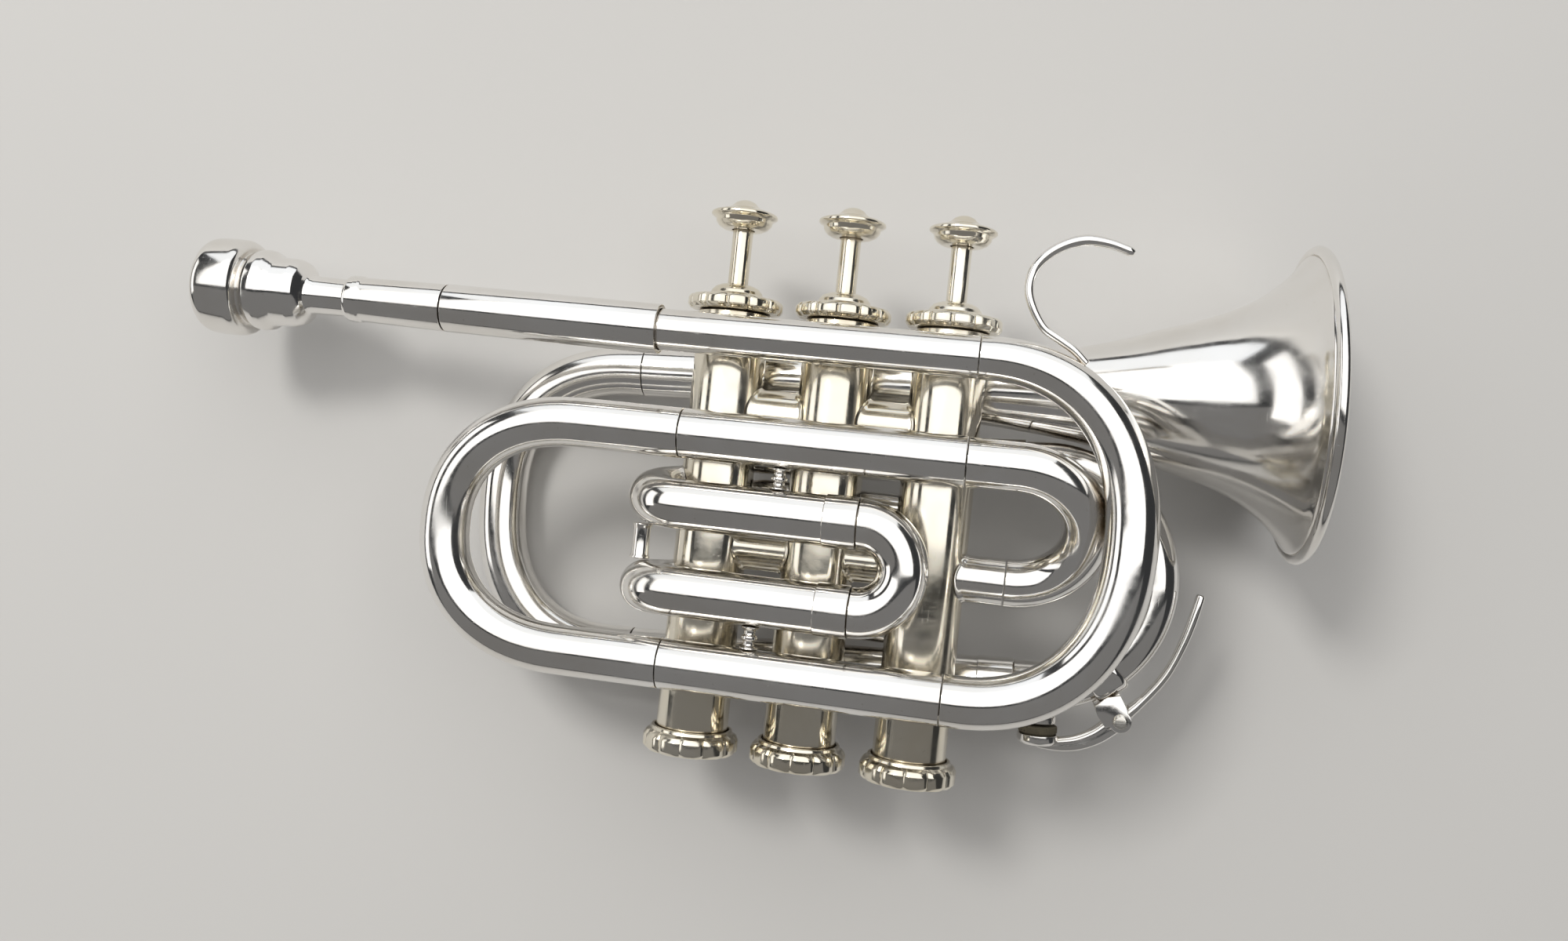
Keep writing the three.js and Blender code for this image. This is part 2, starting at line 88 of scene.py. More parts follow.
def far_point(p):
    p = np.asarray(p, float)
    c, s = math.cos(FAR_TURN), math.sin(FAR_TURN)
    return np.stack([c * p[..., 0] - s * p[..., 1], s * p[..., 0] + c * p[..., 1], p[..., 2]], -1)


def far(shell):
    v, f = shell
    return far_point(v), f


# ------------------------------------------------------------------ paths
def half_loop(cx, cy, a, b, power, side, z, steps=240):
    out = []
    for i in range(steps + 1):
        t = math.pi / 2 - math.pi * i / steps
        c, s = math.cos(t), math.sin(t)
        x = 0.0 if i in (0, steps) else a * max(0.0, abs(c)) ** (2.0 / power)
        y = b * math.copysign(abs(s) ** (2.0 / power), s)
        out.append((cx + side * x, cy + y, z(i / steps) if callable(z) else z))
    return out


def arc_xz(cx, y, cz, r, a0, a1, steps=60):
    return [(cx + r * math.cos(a0 + (a1 - a0) * i / steps), y, cz + r * math.sin(a0 + (a1 - a0) * i / steps)) for i in range(steps + 1)]


def catmull(points, per=24):
    p = np.asarray(points, float)
    p = np.vstack([2 * p[0] - p[1], p, 2 * p[-1] - p[-2]])
    out = []
    for i in range(1, len(p) - 2):
        p0, p1, p2, p3 = p[i - 1], p[i], p[i + 1], p[i + 2]
        t0 = 0.0
        t1 = t0 + math.sqrt(max(1e-9, np.linalg.norm(p1 - p0)))
        t2 = t1 + math.sqrt(max(1e-9, np.linalg.norm(p2 - p1)))
        t3 = t2 + math.sqrt(max(1e-9, np.linalg.norm(p3 - p2)))
        for k in range(per):
            t = t1 + (t2 - t1) * k / per
            a1 = (t1 - t) / (t1 - t0) * p0 + (t - t0) / (t1 - t0) * p1
            a2 = (t2 - t) / (t2 - t1) * p1 + (t - t1) / (t2 - t1) * p2
            a3 = (t3 - t) / (t3 - t2) * p2 + (t - t2) / (t3 - t2) * p3
            b1 = (t2 - t) / (t2 - t0) * a1 + (t - t0) / (t2 - t0) * a2
            b2 = (t3 - t) / (t3 - t1) * a2 + (t - t1) / (t3 - t1) * a3
            out.append((t2 - t) / (t2 - t1) * b1 + (t - t1) / (t2 - t1) * b2)
    out.append(p[-2])
    return np.array(out)


class Path:
    """A dense polyline with length, turning and twist-free frames along it."""

    def __init__(self, points, normal=(0, 0, 1), step=0.4, soften=2):
        p = [np.asarray(points[0], float)]
        for q in points[1:]:
            q = np.asarray(q, float)
            if np.linalg.norm(q - p[-1]) > 1e-6:
                p.append(q)
        p = np.array(p)
        s = np.concatenate([[0], np.cumsum(np.linalg.norm(np.diff(p, axis=0), axis=1))])
        n = max(4, int(math.ceil(s[-1] / step)))
        u = np.linspace(0, s[-1], n + 1)
        p = np.stack([np.interp(u, s, p[:, k]) for k in range(3)], 1)
        for _ in range(soften):
            p[1:-1] = 0.25 * p[:-2] + 0.5 * p[1:-1] + 0.25 * p[2:]
        self.p = p
        self.s = np.concatenate([[0], np.cumsum(np.linalg.norm(np.diff(p, axis=0), axis=1))])
        self.length = float(self.s[-1])
        t = np.gradient(p, axis=0)
        t /= np.linalg.norm(t, axis=1)[:, None]
        self.t = t
        turn = np.arccos(np.clip((t[:-1] * t[1:]).sum(1), -1, 1))
        self.turn = np.concatenate([[0], np.cumsum(turn)])
        nrm = np.zeros_like(p)
        v = np.asarray(normal, float)
        v = unit(v - t[0] * v.dot(t[0]))
        nrm[0] = v
        for i in range(1, len(p)):
            v = v - t[i] * v.dot(t[i])
            v = v / np.linalg.norm(v)
            nrm[i] = v
        self.n = nrm
        self.b = np.cross(t, nrm)

    def at(self, s):
        s = np.asarray(s, float)
        inner = np.clip(s, 0, self.length)
        out = []
        for arr in (self.p, self.n, self.b, self.t):
            out.append(np.stack([np.interp(inner, self.s, arr[:, k]) for k in range(3)], -1))
        c, n, b, t = out
        n = n / np.linalg.norm(n, axis=-1)[..., None]
        b = b / np.linalg.norm(b, axis=-1)[..., None]
        t = t / np.linalg.norm(t, axis=-1)[..., None]
        c = c + t * (s - inner)[..., None]
        return c, n, b

    def marks(self, s0, s1, degrees, longest):
        """Lengths between s0 and s1 (excluding s0, including s1), closer together where the path turns."""
        if abs(s1 - s0) < 1e-9:
            return [s1]
        u = np.linspace(s0, s1, 200)
        m = np.interp(np.clip(u, 0, self.length), self.s, self.turn) / math.radians(degrees)
        m = np.abs(m - m[0]) + np.abs(u - s0) / longest
        n = max(1, int(math.ceil(m[-1] - 1e-6)))
        return list(np.interp(np.linspace(0, m[-1], n + 1)[1:], m, u))


def straight(a, b, normal=(0, 0, 1)):
    a, b = np.asarray(a, float), np.asarray(b, float)
    d = unit(b - a)
    if abs(d.dot(unit(normal))) > 0.9:
        normal = (0, 1, 0) if abs(d[1]) < 0.9 else (1, 0, 0)
    return Path([a, b], normal, step=np.linalg.norm(b - a) / 4, soften=0)


# ------------------------------------------------------------------ profiles
def fillet(profile, closed=True, n=4):
    """Rounds the corners of a (radius, length) outline; a third number is the rounding radius."""
    pts = [np.array(q[:2], float) for q in profile]
    rad = [q[2] if len(q) > 2 else 0.0 for q in profile]
    count = len(pts)
    out = []
    for i in range(count):
        if rad[i] <= 0 or (not closed and i in (0, count - 1)):
            out.append(tuple(pts[i]))
            continue
        a, c, b = pts[i - 1], pts[i], pts[(i + 1) % count]
        u, w = a - c, b - c
        lu, lw = np.linalg.norm(u), np.linalg.norm(w)
        u, w = u / lu, w / lw
        ang = math.acos(max(-1, min(1, float(u.dot(w)))))
        if ang > math.pi - 0.02:
            out.append(tuple(c))
            continue
        d = min(rad[i] / math.tan(ang / 2), 0.48 * lu, 0.48 * lw)
        r = d * math.tan(ang / 2)
        centre = c + unit(u + w) * (r / math.sin(ang / 2))
        p0, p1 = c + u * d, c + w * d
        a0 = math.atan2(*(p0 - centre)[::-1])
        a1 = math.atan2(*(p1 - centre)[::-1])
        da = (a1 - a0 + math.pi) % (2 * math.pi) - math.pi
        k = max(2, int(math.ceil(abs(da) / (math.pi / 2) * n)))
        for j in range(k + 1):
            a_ = a0 + da * j / k
            out.append((centre[0] + r * math.cos(a_), centre[1] + r * math.sin(a_)))
    return out


def ring(ro, ri, s0, s1, e=0.14):
    return fillet([(ro, s0, e), (ro, s1, e), (ri, s1, 0.08), (ri, s0, 0.08)])


def smooth_profile(points, per=10):
    return [tuple(q) for q in catmull([(r, s, 0.0) for r, s in points], per)[:, :2]]


# ------------------------------------------------------------------ shells
def bent(path, profile, seg=48, closed=True, degrees=3.5, longest=30.0, shape=None, start_cut=None, end_cut=None):
    """Sweeps a (radius, length) outline round a path: a lathe whose axis may bend.
    shape(angles, radius, length) gives the radius for each angle where it isn't round.
    start_cut / end_cut = (casing x, casing radius) fit the first / last end to an upright casing."""
    prof = list(profile)
    n = len(prof)
    dense = []
    last = n if closed else n - 1
    if not closed:
        dense.append(prof[0])
    for i in range(last):
        (r0, s0), (r1, s1) = prof[i], prof[(i + 1) % n]
        near_cut = (start_cut and min(s0, s1) < 14) or (end_cut and max(s0, s1) > path.length - 14)
        marks = path.marks(s0, s1, degrees, 1.0 if near_cut and abs(s1 - s0) > 3 else longest)
        for s in marks:
            f = 1.0 if abs(s1 - s0) < 1e-9 else (s - s0) / (s1 - s0)
            dense.append((r0 + (r1 - r0) * f, s))
    if closed:
        dense = dense[-1:] + dense[:-1]
    r = np.array([q[0] for q in dense])
    s = np.array([q[1] for q in dense])
    c, nn, bb = path.at(s)
    ang = 2 * math.pi * np.arange(seg) / seg
    ca, sa = np.cos(ang), np.sin(ang)
    rr = np.repeat(r[:, None], seg, 1)
    if shape is not None:
        for k in range(len(r)):
            if r[k] > 1e-6:
                rr[k] = shape(ang, r[k], s[k])
    g = c[:, None, :] + rr[..., None] * (ca[None, :, None] * nn[:, None, :] + sa[None, :, None] * bb[:, None, :])
    if start_cut or end_cut:
        g = saddle(g, r, s, path, start_cut, end_cut)
    verts, index = [], []
    for k in range(len(r)):
        if not closed and k in (0, len(r) - 1) and r[k] < 1e-6:
            index.append([len(verts)])
            verts.append(c[k])
        else:
            index.append(list(range(len(verts), len(verts) + seg)))
            verts.extend(g[k])
    faces = []
    rows = len(r) if closed else len(r) - 1
    for k in range(rows):
        a, b = index[k], index[(k + 1) % len(r)]
        for j in range(seg):
            j2 = (j + 1) % seg
            if len(a) == 1 and len(b) == 1:
                continue
            if len(a) == 1:
                faces.append((a[0], b[j], b[j2]))
            elif len(b) == 1:
                faces.append((a[j], b[0], a[j2]))
            else:
                faces.append((a[j], b[j], b[j2], a[j2]))
    return np.array(verts), faces


def saddle(g, r, s, path, start_cut, end_cut):
    """Fits tube ends to the round wall of a casing that stands along Y, with a small solder bead."""
    top = int(np.argmax(s))
    count, seg = g.shape[:2]
    # The outline runs outer start .. outer end, inner end .. inner start.
    half = None
    for k in range(1, count):
        if r[k] < r[k - 1] - 0.05 and s[k] > path.length * 0.5:
            half = k
    outer = list(range(0, half))
    inner = list(range(half, count))
    out = g.copy()

    def fit(line, xc, rc, bead):
        pts = g[line]
        d = np.hypot(pts[..., 0] - xc, pts[..., 2])
        clear = [k for k in range(len(line)) if (d[k:] > rc + 0.9).all()]
        m = clear[0] if clear else len(line) - 1
        for j in range(seg):
            dj = d[:, j]
            k = 0
            for q in range(m, 0, -1):
                if dj[q - 1] < rc:
                    k = q
                    break
            f = (rc - dj[k - 1]) / (dj[k] - dj[k - 1]) if k > 0 else 0.0
            start = pts[k - 1, j] + (pts[k, j] - pts[k - 1, j]) * f if k > 0 else pts[0, j]
            rest = [start] + [pts[q, j] for q in range(max(k, 1), m + 1)]
            rest = np.array(rest)
            ln = np.concatenate([[0], np.cumsum(np.linalg.norm(np.diff(rest, axis=0), axis=1))])
            t = (np.arange(m + 1) / m) ** 1.35 * ln[-1]
            for axis in range(3):
                out[line[: m + 1], j, axis] = np.interp(t, ln, rest[:, axis])
            if bead > 0:
                for q in range(m):
                    # outwards from the tube's own axis
                    mid = g[line[q]].mean(0)
                    away = out[line[q], j] - mid
                    away = away - path_dir(path, s[line[q]]) * away.dot(path_dir(path, s[line[q]]))
                    away = away / max(1e-6, np.linalg.norm(away))
                    x = max(0.0, 1.0 - t[q] / 1.3)
                    out[line[q], j] = out[line[q], j] + away * bead * x * x

    if start_cut:
        fit(np.array(outer), start_cut[0], start_cut[1], 0.55)
        fit(np.array(inner[::-1]), start_cut[0], start_cut[1], 0.0)
    if end_cut:
        fit(np.array(outer[::-1]), end_cut[0], end_cut[1], 0.55)
        fit(np.array(inner), end_cut[0], end_cut[1], 0.0)
    return out


def path_dir(path, s):
    i = int(np.clip(np.searchsorted(path.s, s), 0, len(path.s) - 1))
    return path.t[i]


def lathe(origin, direction, profile, seg=64, closed=True, shape=None):
    direction = unit(direction)
    far = max(q[1] for q in profile)
    path = straight(np.asarray(origin, float), np.asarray(origin, float) + direction * max(1.0, far))
    return bent(path, profile, seg, closed, shape=shape, longest=1000)


def extrude(outline, z0, z1, bevel=0.25, steps=3):
    """A plate in the XY plane with rounded edges, from z0 to z1."""
    o = np.asarray(outline, float)
    area = 0.5 * np.sum(o[:, 0] * np.roll(o[:, 1], -1) - np.roll(o[:, 0], -1) * o[:, 1])
    if area < 0:
        o = o[::-1]
    e = np.roll(o, -1, 0) - o
    nrm = np.stack([e[:, 1], -e[:, 0]], 1)
    nrm /= np.linalg.norm(nrm, axis=1)[:, None]
    corner = nrm + np.roll(nrm, 1, 0)
    corner /= np.maximum(0.35, (corner * nrm).sum(1))[:, None]
    rows = [(z0 + bevel * (1 - math.cos(math.pi / 2 * k / steps)), bevel * (1 - math.sin(math.pi / 2 * k / steps))) for k in range(steps + 1)]
    rows += [(z1 - bevel * (1 - math.cos(math.pi / 2 * k / steps)), bevel * (1 - math.sin(math.pi / 2 * k / steps))) for k in range(steps, -1, -1)]
    verts, n = [], len(o)
    for z, inset in rows:
        q = o - corner * inset
        verts.extend([(x, y, z) for x, y in q])
    faces = []
    for k in range(len(rows) - 1):
        for j in range(n):
            j2 = (j + 1) % n
            faces.append((k * n + j, k * n + j2, (k + 1) * n + j2, (k + 1) * n + j))
    faces.append(tuple(range(n))[::-1])
    faces.append(tuple(range((len(rows) - 1) * n, len(rows) * n)))
    return np.array(verts), faces


def volume(v, faces):
    tri = np.array([(f[0], f[i], f[i + 1]) for f in faces for i in range(1, len(f) - 1)])
    return float((v[tri[:, 0]] * np.cross(v[tri[:, 1]], v[tri[:, 2]])).sum()) / 6


# ------------------------------------------------------------------ materials
def node_material(name):
    m = bpy.data.materials.new(name)
    m.use_nodes = True
    t = m.node_tree
    t.nodes.clear()
    return m, t


def noise(t, coords, scale, detail=3.0, rough=0.55, distortion=0.0):
    n = t.nodes.new("ShaderNodeTexNoise")
    n.inputs["Scale"].default_value = scale
    n.inputs["Detail"].default_value = detail
    n.inputs["Roughness"].default_value = rough
    n.inputs["Distortion"].default_value = distortion
    t.links.new(coords, n.inputs["Vector"])
    return n.outputs["Fac"]


def ramp(t, value, stops):
    n = t.nodes.new("ShaderNodeValToRGB")
    cr = n.color_ramp
    while len(cr.elements) < len(stops):
        cr.elements.new(0.5)
    for e, (pos, col) in zip(cr.elements, stops):
        e.position = pos
        e.color = (*col, 1.0) if len(col) == 3 else col
    t.links.new(value, n.inputs["Fac"])
    return n.outputs["Color"]


def mapping(t, coords, scale=(1, 1, 1), rotation=(0, 0, 0)):
    n = t.nodes.new("ShaderNodeMapping")
    n.inputs["Scale"].default_value = scale
    n.inputs["Rotation"].default_value = rotation
    t.links.new(coords, n.inputs["Vector"])
    return n.outputs["Vector"]


def span(t, value, a, b, lo, hi):
    n = t.nodes.new("ShaderNodeMapRange")
    n.inputs["From Min"].default_value = a
    n.inputs["From Max"].default_value = b
    n.inputs["To Min"].default_value = lo
    n.inputs["To Max"].default_value = hi
    t.links.new(value, n.inputs["Value"])
    return n.outputs["Result"]


def math_node(t, op, a, b):
    n = t.nodes.new("ShaderNodeMath")
    n.operation = op
    for i, x in enumerate((a, b)):
        if isinstance(x, (int, float)):
            n.inputs[i].default_value = x
        else:
            t.links.new(x, n.inputs[i])
    return n.outputs[0]


def colour_sockets(n):
    a = [s for s in n.inputs if s.name == "A" and s.type == "RGBA"][0]
    b = [s for s in n.inputs if s.name == "B" and s.type == "RGBA"][0]
    f = [s for s in n.inputs if s.name == "Factor" and s.type == "VALUE"][0]
    out = [s for s in n.outputs if s.name == "Result" and s.type == "RGBA"][0]
    return f, a, b, out


def mix_rgb(t, fac, a, b, mode="MIX"):
    n = t.nodes.new("ShaderNodeMix")
    n.data_type = "RGBA"
    n.blend_type = mode
    f_, a_, b_, out = colour_sockets(n)
    for sock, x in ((f_, fac), (a_, a), (b_, b)):
        if isinstance(x, (int, float)):
            sock.default_value = x
        elif isinstance(x, tuple):
            sock.default_value = (*x, 1.0)
        else:
            t.links.new(x, sock)
    return out


def polished(name, light, dark, grime_and_shade, rough_lo=0.085, rough_hi=0.19, wave=0.00009, crevice=0.0034):
    """Polished plate: soft waviness, wiping haze, fine scratches, and tarnish plus painted shade darkening the corners
    and gaps between parts.
    """
    m, t = node_material(name)
    coords = t.nodes.new("ShaderNodeTexCoord").outputs["Object"]
    out = t.nodes.new("ShaderNodeOutputMaterial")
    b = t.nodes.new("ShaderNodeBsdfPrincipled")
    t.links.new(b.outputs["BSDF"], out.inputs["Surface"])
    b.inputs["Metallic"].default_value = 1.0
    b.inputs["IOR"].default_value = 1.5

    broad = noise(t, coords, 34.0, 4.0, 0.6, 0.4)
    fine = noise(t, coords, 420.0, 3.0, 0.6)
    base = mix_rgb(t, ramp(t, broad, [(0.38, (0, 0, 0)), (0.66, (1, 1, 1))]), light, dark)
    speck = ramp(t, noise(t, coords, 900.0, 2.0, 0.5), [(0.70, (0, 0, 0)), (0.80, (1, 1, 1))])
    speck = mix_rgb(t, 0.25, (0, 0, 0), speck)
    base = mix_rgb(t, speck, base, grime_and_shade)
    # Occlusion mask: corners, creases and gaps between parts go towards the grime colour, partly tarnish and partly
    # painted shade.
    ao = t.nodes.new("ShaderNodeAmbientOcclusion")
    ao.samples = 6
    ao.inputs["Distance"].default_value = crevice
    tarnish_and_shade = ramp(t, ao.outputs["AO"], [(0.30, (1, 1, 1)), (0.78, (0, 0, 0))])
    uneven = ramp(t, noise(t, coords, 150.0, 3.0, 0.7), [(0.35, (0.35, 0.35, 0.35)), (0.65, (1, 1, 1))])
    tarnish_and_shade = mix_rgb(t, 1.0, tarnish_and_shade, uneven, "MULTIPLY")
    base = mix_rgb(t, tarnish_and_shade, base, grime_and_shade)
    t.links.new(base, b.inputs["Base Color"])

    haze = ramp(t, noise(t, mapping(t, coords, (26, 60, 34), (0.3, 0.5, 0.9)), 1.0, 5.0, 0.62, 1.2), [(0.42, (0, 0, 0)), (0.70, (1, 1, 1))])
    rough = span(t, haze, 0.0, 1.0, rough_lo, rough_hi)
    rough = math_node(t, "ADD", rough, span(t, fine, 0.4, 0.75, 0.0, 0.03))
    streak = noise(t, mapping(t, coords, (140, 2600, 2600), (0.2, 0.15, 0.45)), 1.0, 1.0, 0.5)
    streak2 = noise(t, mapping(t, coords, (2600, 160, 2600), (0.5, 0.3, -0.35)), 1.0, 1.0, 0.5)
    lines = math_node(t, "MAXIMUM", span(t, streak, 0.70, 0.78, 0.0, 1.0), span(t, streak2, 0.71, 0.79, 0.0, 1.0))
    rough = math_node(t, "ADD", rough, math_node(t, "MULTIPLY", lines, 0.10))
    dull = t.nodes.new("ShaderNodeRGBToBW")
    t.links.new(tarnish_and_shade, dull.inputs[0])
    rough = math_node(t, "ADD", rough, math_node(t, "MULTIPLY", dull.outputs[0], 0.25))
    t.links.new(rough, b.inputs["Roughness"])

    bump1 = t.nodes.new("ShaderNodeBump")
    bump1.inputs["Strength"].default_value = 1.0
    bump1.inputs["Distance"].default_value = wave
    t.links.new(noise(t, coords, 62.0, 2.0, 0.5, 0.2), bump1.inputs["Height"])
    bump2 = t.nodes.new("ShaderNodeBump")
    bump2.inputs["Strength"].default_value = 0.35
    bump2.inputs["Distance"].default_value = 0.000004
    t.links.new(math_node(t, "SUBTRACT", fine, math_node(t, "MULTIPLY", lines, 0.5)), bump2.inputs["Height"])
    t.links.new(bump1.outputs["Normal"], bump2.inputs["Normal"])
    t.links.new(bump2.outputs["Normal"], b.inputs["Normal"])
    return m


def steel(name):
    m, t = node_material(name)
    coords = t.nodes.new("ShaderNodeTexCoord").outputs["Object"]
    out = t.nodes.new("ShaderNodeOutputMaterial")
    b = t.nodes.new("ShaderNodeBsdfPrincipled")
    t.links.new(b.outputs["BSDF"], out.inputs["Surface"])
    b.inputs["Metallic"].default_value = 1.0
    lay = noise(t, mapping(t, coords, (300, 3000, 300)), 1.0, 3.0, 0.6)
    t.links.new(mix_rgb(t, lay, (0.74, 0.71, 0.64), (0.86, 0.84, 0.80)), b.inputs["Base Color"])
    t.links.new(span(t, lay, 0.3, 0.7, 0.16, 0.32), b.inputs["Roughness"])
    bump = t.nodes.new("ShaderNodeBump")
    bump.inputs["Strength"].default_value = 0.4
    bump.inputs["Distance"].default_value = 0.00001
    t.links.new(lay, bump.inputs["Height"])
    t.links.new(bump.outputs["Normal"], b.inputs["Normal"])
    return m


def felt(name):
    m, t = node_material(name)
    coords = t.nodes.new("ShaderNodeTexCoord").outputs["Object"]
    out = t.nodes.new("ShaderNodeOutputMaterial")
    b = t.nodes.new("ShaderNodeBsdfPrincipled")
    t.links.new(b.outputs["BSDF"], out.inputs["Surface"])
    fibre = noise(t, coords, 2600.0, 5.0, 0.7, 1.5)
    t.links.new(mix_rgb(t, fibre, (0.16, 0.012, 0.012), (0.46, 0.05, 0.045)), b.inputs["Base Color"])
    b.inputs["Roughness"].default_value = 0.96
    b.inputs["Sheen Weight"].default_value = 0.5
    bump = t.nodes.new("ShaderNodeBump")
    bump.inputs["Strength"].default_value = 0.8
    bump.inputs["Distance"].default_value = 0.00012
    t.links.new(fibre, bump.inputs["Height"])
    t.links.new(bump.outputs["Normal"], b.inputs["Normal"])
    return m


def cork(name):
    m, t = node_material(name)
    coords = t.nodes.new("ShaderNodeTexCoord").outputs["Object"]
    out = t.nodes.new("ShaderNodeOutputMaterial")
    b = t.nodes.new("ShaderNodeBsdfPrincipled")
    t.links.new(b.outputs["BSDF"], out.inputs["Surface"])
    v = t.nodes.new("ShaderNodeTexVoronoi")
    v.inputs["Scale"].default_value = 900.0
    t.links.new(coords, v.inputs["Vector"])
    grain = noise(t, coords, 700.0, 4.0, 0.7, 0.8)
    col = mix_rgb(t, grain, (0.055, 0.050, 0.036), (0.17, 0.145, 0.095))
    pits = ramp(t, v.outputs["Distance"], [(0.05, (1, 1, 1)), (0.28, (0, 0, 0))])
    t.links.new(mix_rgb(t, pits, col, (0.022, 0.019, 0.013)), b.inputs["Base Color"])
    b.inputs["Roughness"].default_value = 0.88
    bump = t.nodes.new("ShaderNodeBump")
    bump.inputs["Strength"].default_value = 0.7
    bump.inputs["Distance"].default_value = 0.0001
    t.links.new(v.outputs["Distance"], bump.inputs["Height"])
    t.links.new(bump.outputs["Normal"], b.inputs["Normal"])
    return m


SILVER = polished("silver_plate_polished", (0.905, 0.893, 0.872), (0.835, 0.812, 0.772), (0.36, 0.29, 0.20))
# Wider occlusion reach for the warm nickel: painted shade darkens the casings where the tubes stand close.
WARM = polished("nickel_warm_polished", (0.880, 0.838, 0.735), (0.800, 0.742, 0.612), (0.31, 0.23, 0.13), 0.10, 0.23, 0.00008, 0.0055)
STEEL = steel("piston_steel")
FELT = felt("felt_red_wool")
CORK = cork("cork_pad")
FINISH = {"silver_plate": SILVER, "nickel_warm": WARM, "nickel_steel": STEEL, "felt_red": FELT, "cork": CORK}


# ------------------------------------------------------------------ making a piece
def piece(name, shells, node, body, slot, sharp=32.0, extra_nodes=()):
    verts, faces = [], []
    for v, f in shells:
        v = np.asarray(v, float)
        if volume(v, f) < 0:
            f = [tuple(reversed(q)) for q in f]
        off = sum(len(x) for x in verts)
        verts.append(v)
        faces.extend([tuple(i + off for i in q) for q in f])
    p = to_frame(np.vstack(verts))
    me = bpy.data.meshes.new(name)
    me.from_pydata(p.tolist(), [], faces)
    me.validate()
    me.polygons.foreach_set("use_smooth", [True] * len(me.polygons))
    me.set_sharp_from_angle(angle=math.radians(sharp))
    me.materials.append(FINISH[slot])
    me.update()
    o = bpy.data.objects.new(name, me)
    bpy.context.scene.collection.objects.link(o)
    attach(o, body)
    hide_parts(node, *extra_nodes)
    return o


ROOT = "trumpet_body"


def tube_piece(name, points, ro, ri, node, body=ROOT, slot="silver_plate", normal=(0, 0, 1), seg=56, scale=None, **kw):
    """A drawn tube along a path, with slightly rounded ends."""
    path = Path(points, normal)
    length = path.length
    if scale is None:
        prof = ring(ro, ri, 0.0, length)
    else:
        marks = np.linspace(0, length, 40)
        outer = [(ro * scale(u / length), u) for u in marks]
        inner = [(ro * scale(u / length) - (ro - ri), u) for u in marks[::-1]]
        prof = fillet([(outer[0][0], 0.0, 0.14)] + outer[1:-1] + [(outer[-1][0], length, 0.14)]
                      + [(inner[0][0], length, 0.08)] + inner[1:-1] + [(inner[-1][0], 0.0, 0.08)])
    return piece(name, [bent(path, prof, seg, **kw)], node, body, slot)


# ------------------------------------------------------------------ mouthpiece and leadpipe
# rim, bite and cup (from the throat outwards), then the outside back to the shank
cup_in = smooth_profile([(1.9, 15.2), (2.1, 13.8), (3.6, 11.4), (5.6, 9.3), (7.0, 6.4), (7.7, 3.6), (8.1, 1.7), (8.75, 0.55), (9.7, 0.08), (10.7, 0.06), (11.6, 0.55), (12.15, 1.7), (12.35, 3.6), (12.38, 8.2), (12.2, 9.8), (11.6, 10.8), (10.7, 11.3), (9.8, 11.5)], 6)
body_out = fillet([(9.45, 11.65), (9.3, 11.95, 0.12), (9.3, 12.6, 0.12), (9.7, 13.0, 0.3), (10.2, 13.9, 0.8), (10.38, 15.6, 1.2), (10.1, 17.1, 1.0), (9.1, 18.3, 1.2), (8.8, 19.5, 1.5), (8.75, 24.0, 1.5), (8.0, 26.0, 1.4), (6.2, 27.4, 0.6), (5.3, 27.9, 0.3), (4.95, 28.4, 0.3), (4.85, 29.5, 1.0), (4.72, 38.0), (4.4, 49.0)], closed=False)
bore_in = [(4.4, 49.0), (3.85, 49.0), (3.0, 35.0), (2.3, 24.0), (1.9, 16.5)]
prof = cup_in + [q for q in body_out] + bore_in[1:]
piece("mouthpiece_fine", [lathe(lead(-163.6), LEAD_DIR, prof, 96)], "mouthpiece", "mouthpiece_body", "silver_plate", sharp=28)

receiver = fillet([(5.3, 0.0, 0.1), (5.62, 0.0, 0.2), (5.9, 0.8, 0.5), (5.95, 2.2, 0.8), (5.9, 3.3, 0.5), (5.62, 3.9, 0.3), (5.66, 5.0, 1.0), (5.95, 26.2, 0.14), (4.9, 26.2, 0.08), (4.9, 12.0)])
piece("mouthpiece_receiver_fine", [lathe(lead(-124.8), LEAD_DIR, receiver, 72)], "mouthpiece_receiver", ROOT, "silver_plate")

sleeve = fillet([(6.0, 0.0, 0.16), (6.15, 55.7, 0.16), (5.15, 55.7, 0.08), (5.15, 0.0, 0.08)])
piece("leadpipe_sleeve_fine", [lathe(lead(-98.2), LEAD_DIR, sleeve, 72)], "leadpipe_sleeve", ROOT, "silver_plate")
# The leadpipe, with the narrower end that goes up inside its sleeve.
lead_prof = fillet([(4.85, -6.0, 0.1), (4.85, 0.0), (5.1, 0.02, 0.12), (5.1, 77.8, 0.14), (4.4, 77.8, 0.08), (4.4, -6.0, 0.08)])
piece("leadpipe_fine", [lathe((-42.1, Y_LEAD, NZ), (1, 0, 0), lead_prof, 72)], "leadpipe", ROOT, "silver_plate")

# ------------------------------------------------------------------ right-hand run
front_pts = [(36.0, Y_LEAD, NZ)] + half_loop(38, 9.8, 36.9, 40.8, 2.25, 1, NZ) + [(35.3, Y_BOT, NZ)]
tube_piece("front_bow_fine", front_pts, 6.2, 5.4, "front_bow", scale=lambda u: 0.84 + 0.17 * min(1.0, u / 0.42), seg=72)
piece("bottom_tube_fine", [lathe((-33.5, Y_BOT, NZ), (1, 0, 0), ring(R_MAIN, R_MAIN_IN, 0, 68.5), 72)], "bottom_tube", ROOT, "silver_plate")
tube_piece("rear_crook_fine", [(-34.3, Y_MID, NZ)] + half_loop(-60, -2.65, 33.1, 28.35, 2.25, -1, NZ) + [(-33.8, Y_BOT, NZ)], 6.2, 5.4, "rear_crook", seg=72)
piece("middle_tube_fine", [lathe((-34.0, Y_MID, NZ), (1, 0, 0), ring(R_MAIN, R_MAIN_IN, 0, 69.3), 72)], "middle_tube", ROOT, "silver_plate")


def ease(t):
    return t * t * (3 - 2 * t)


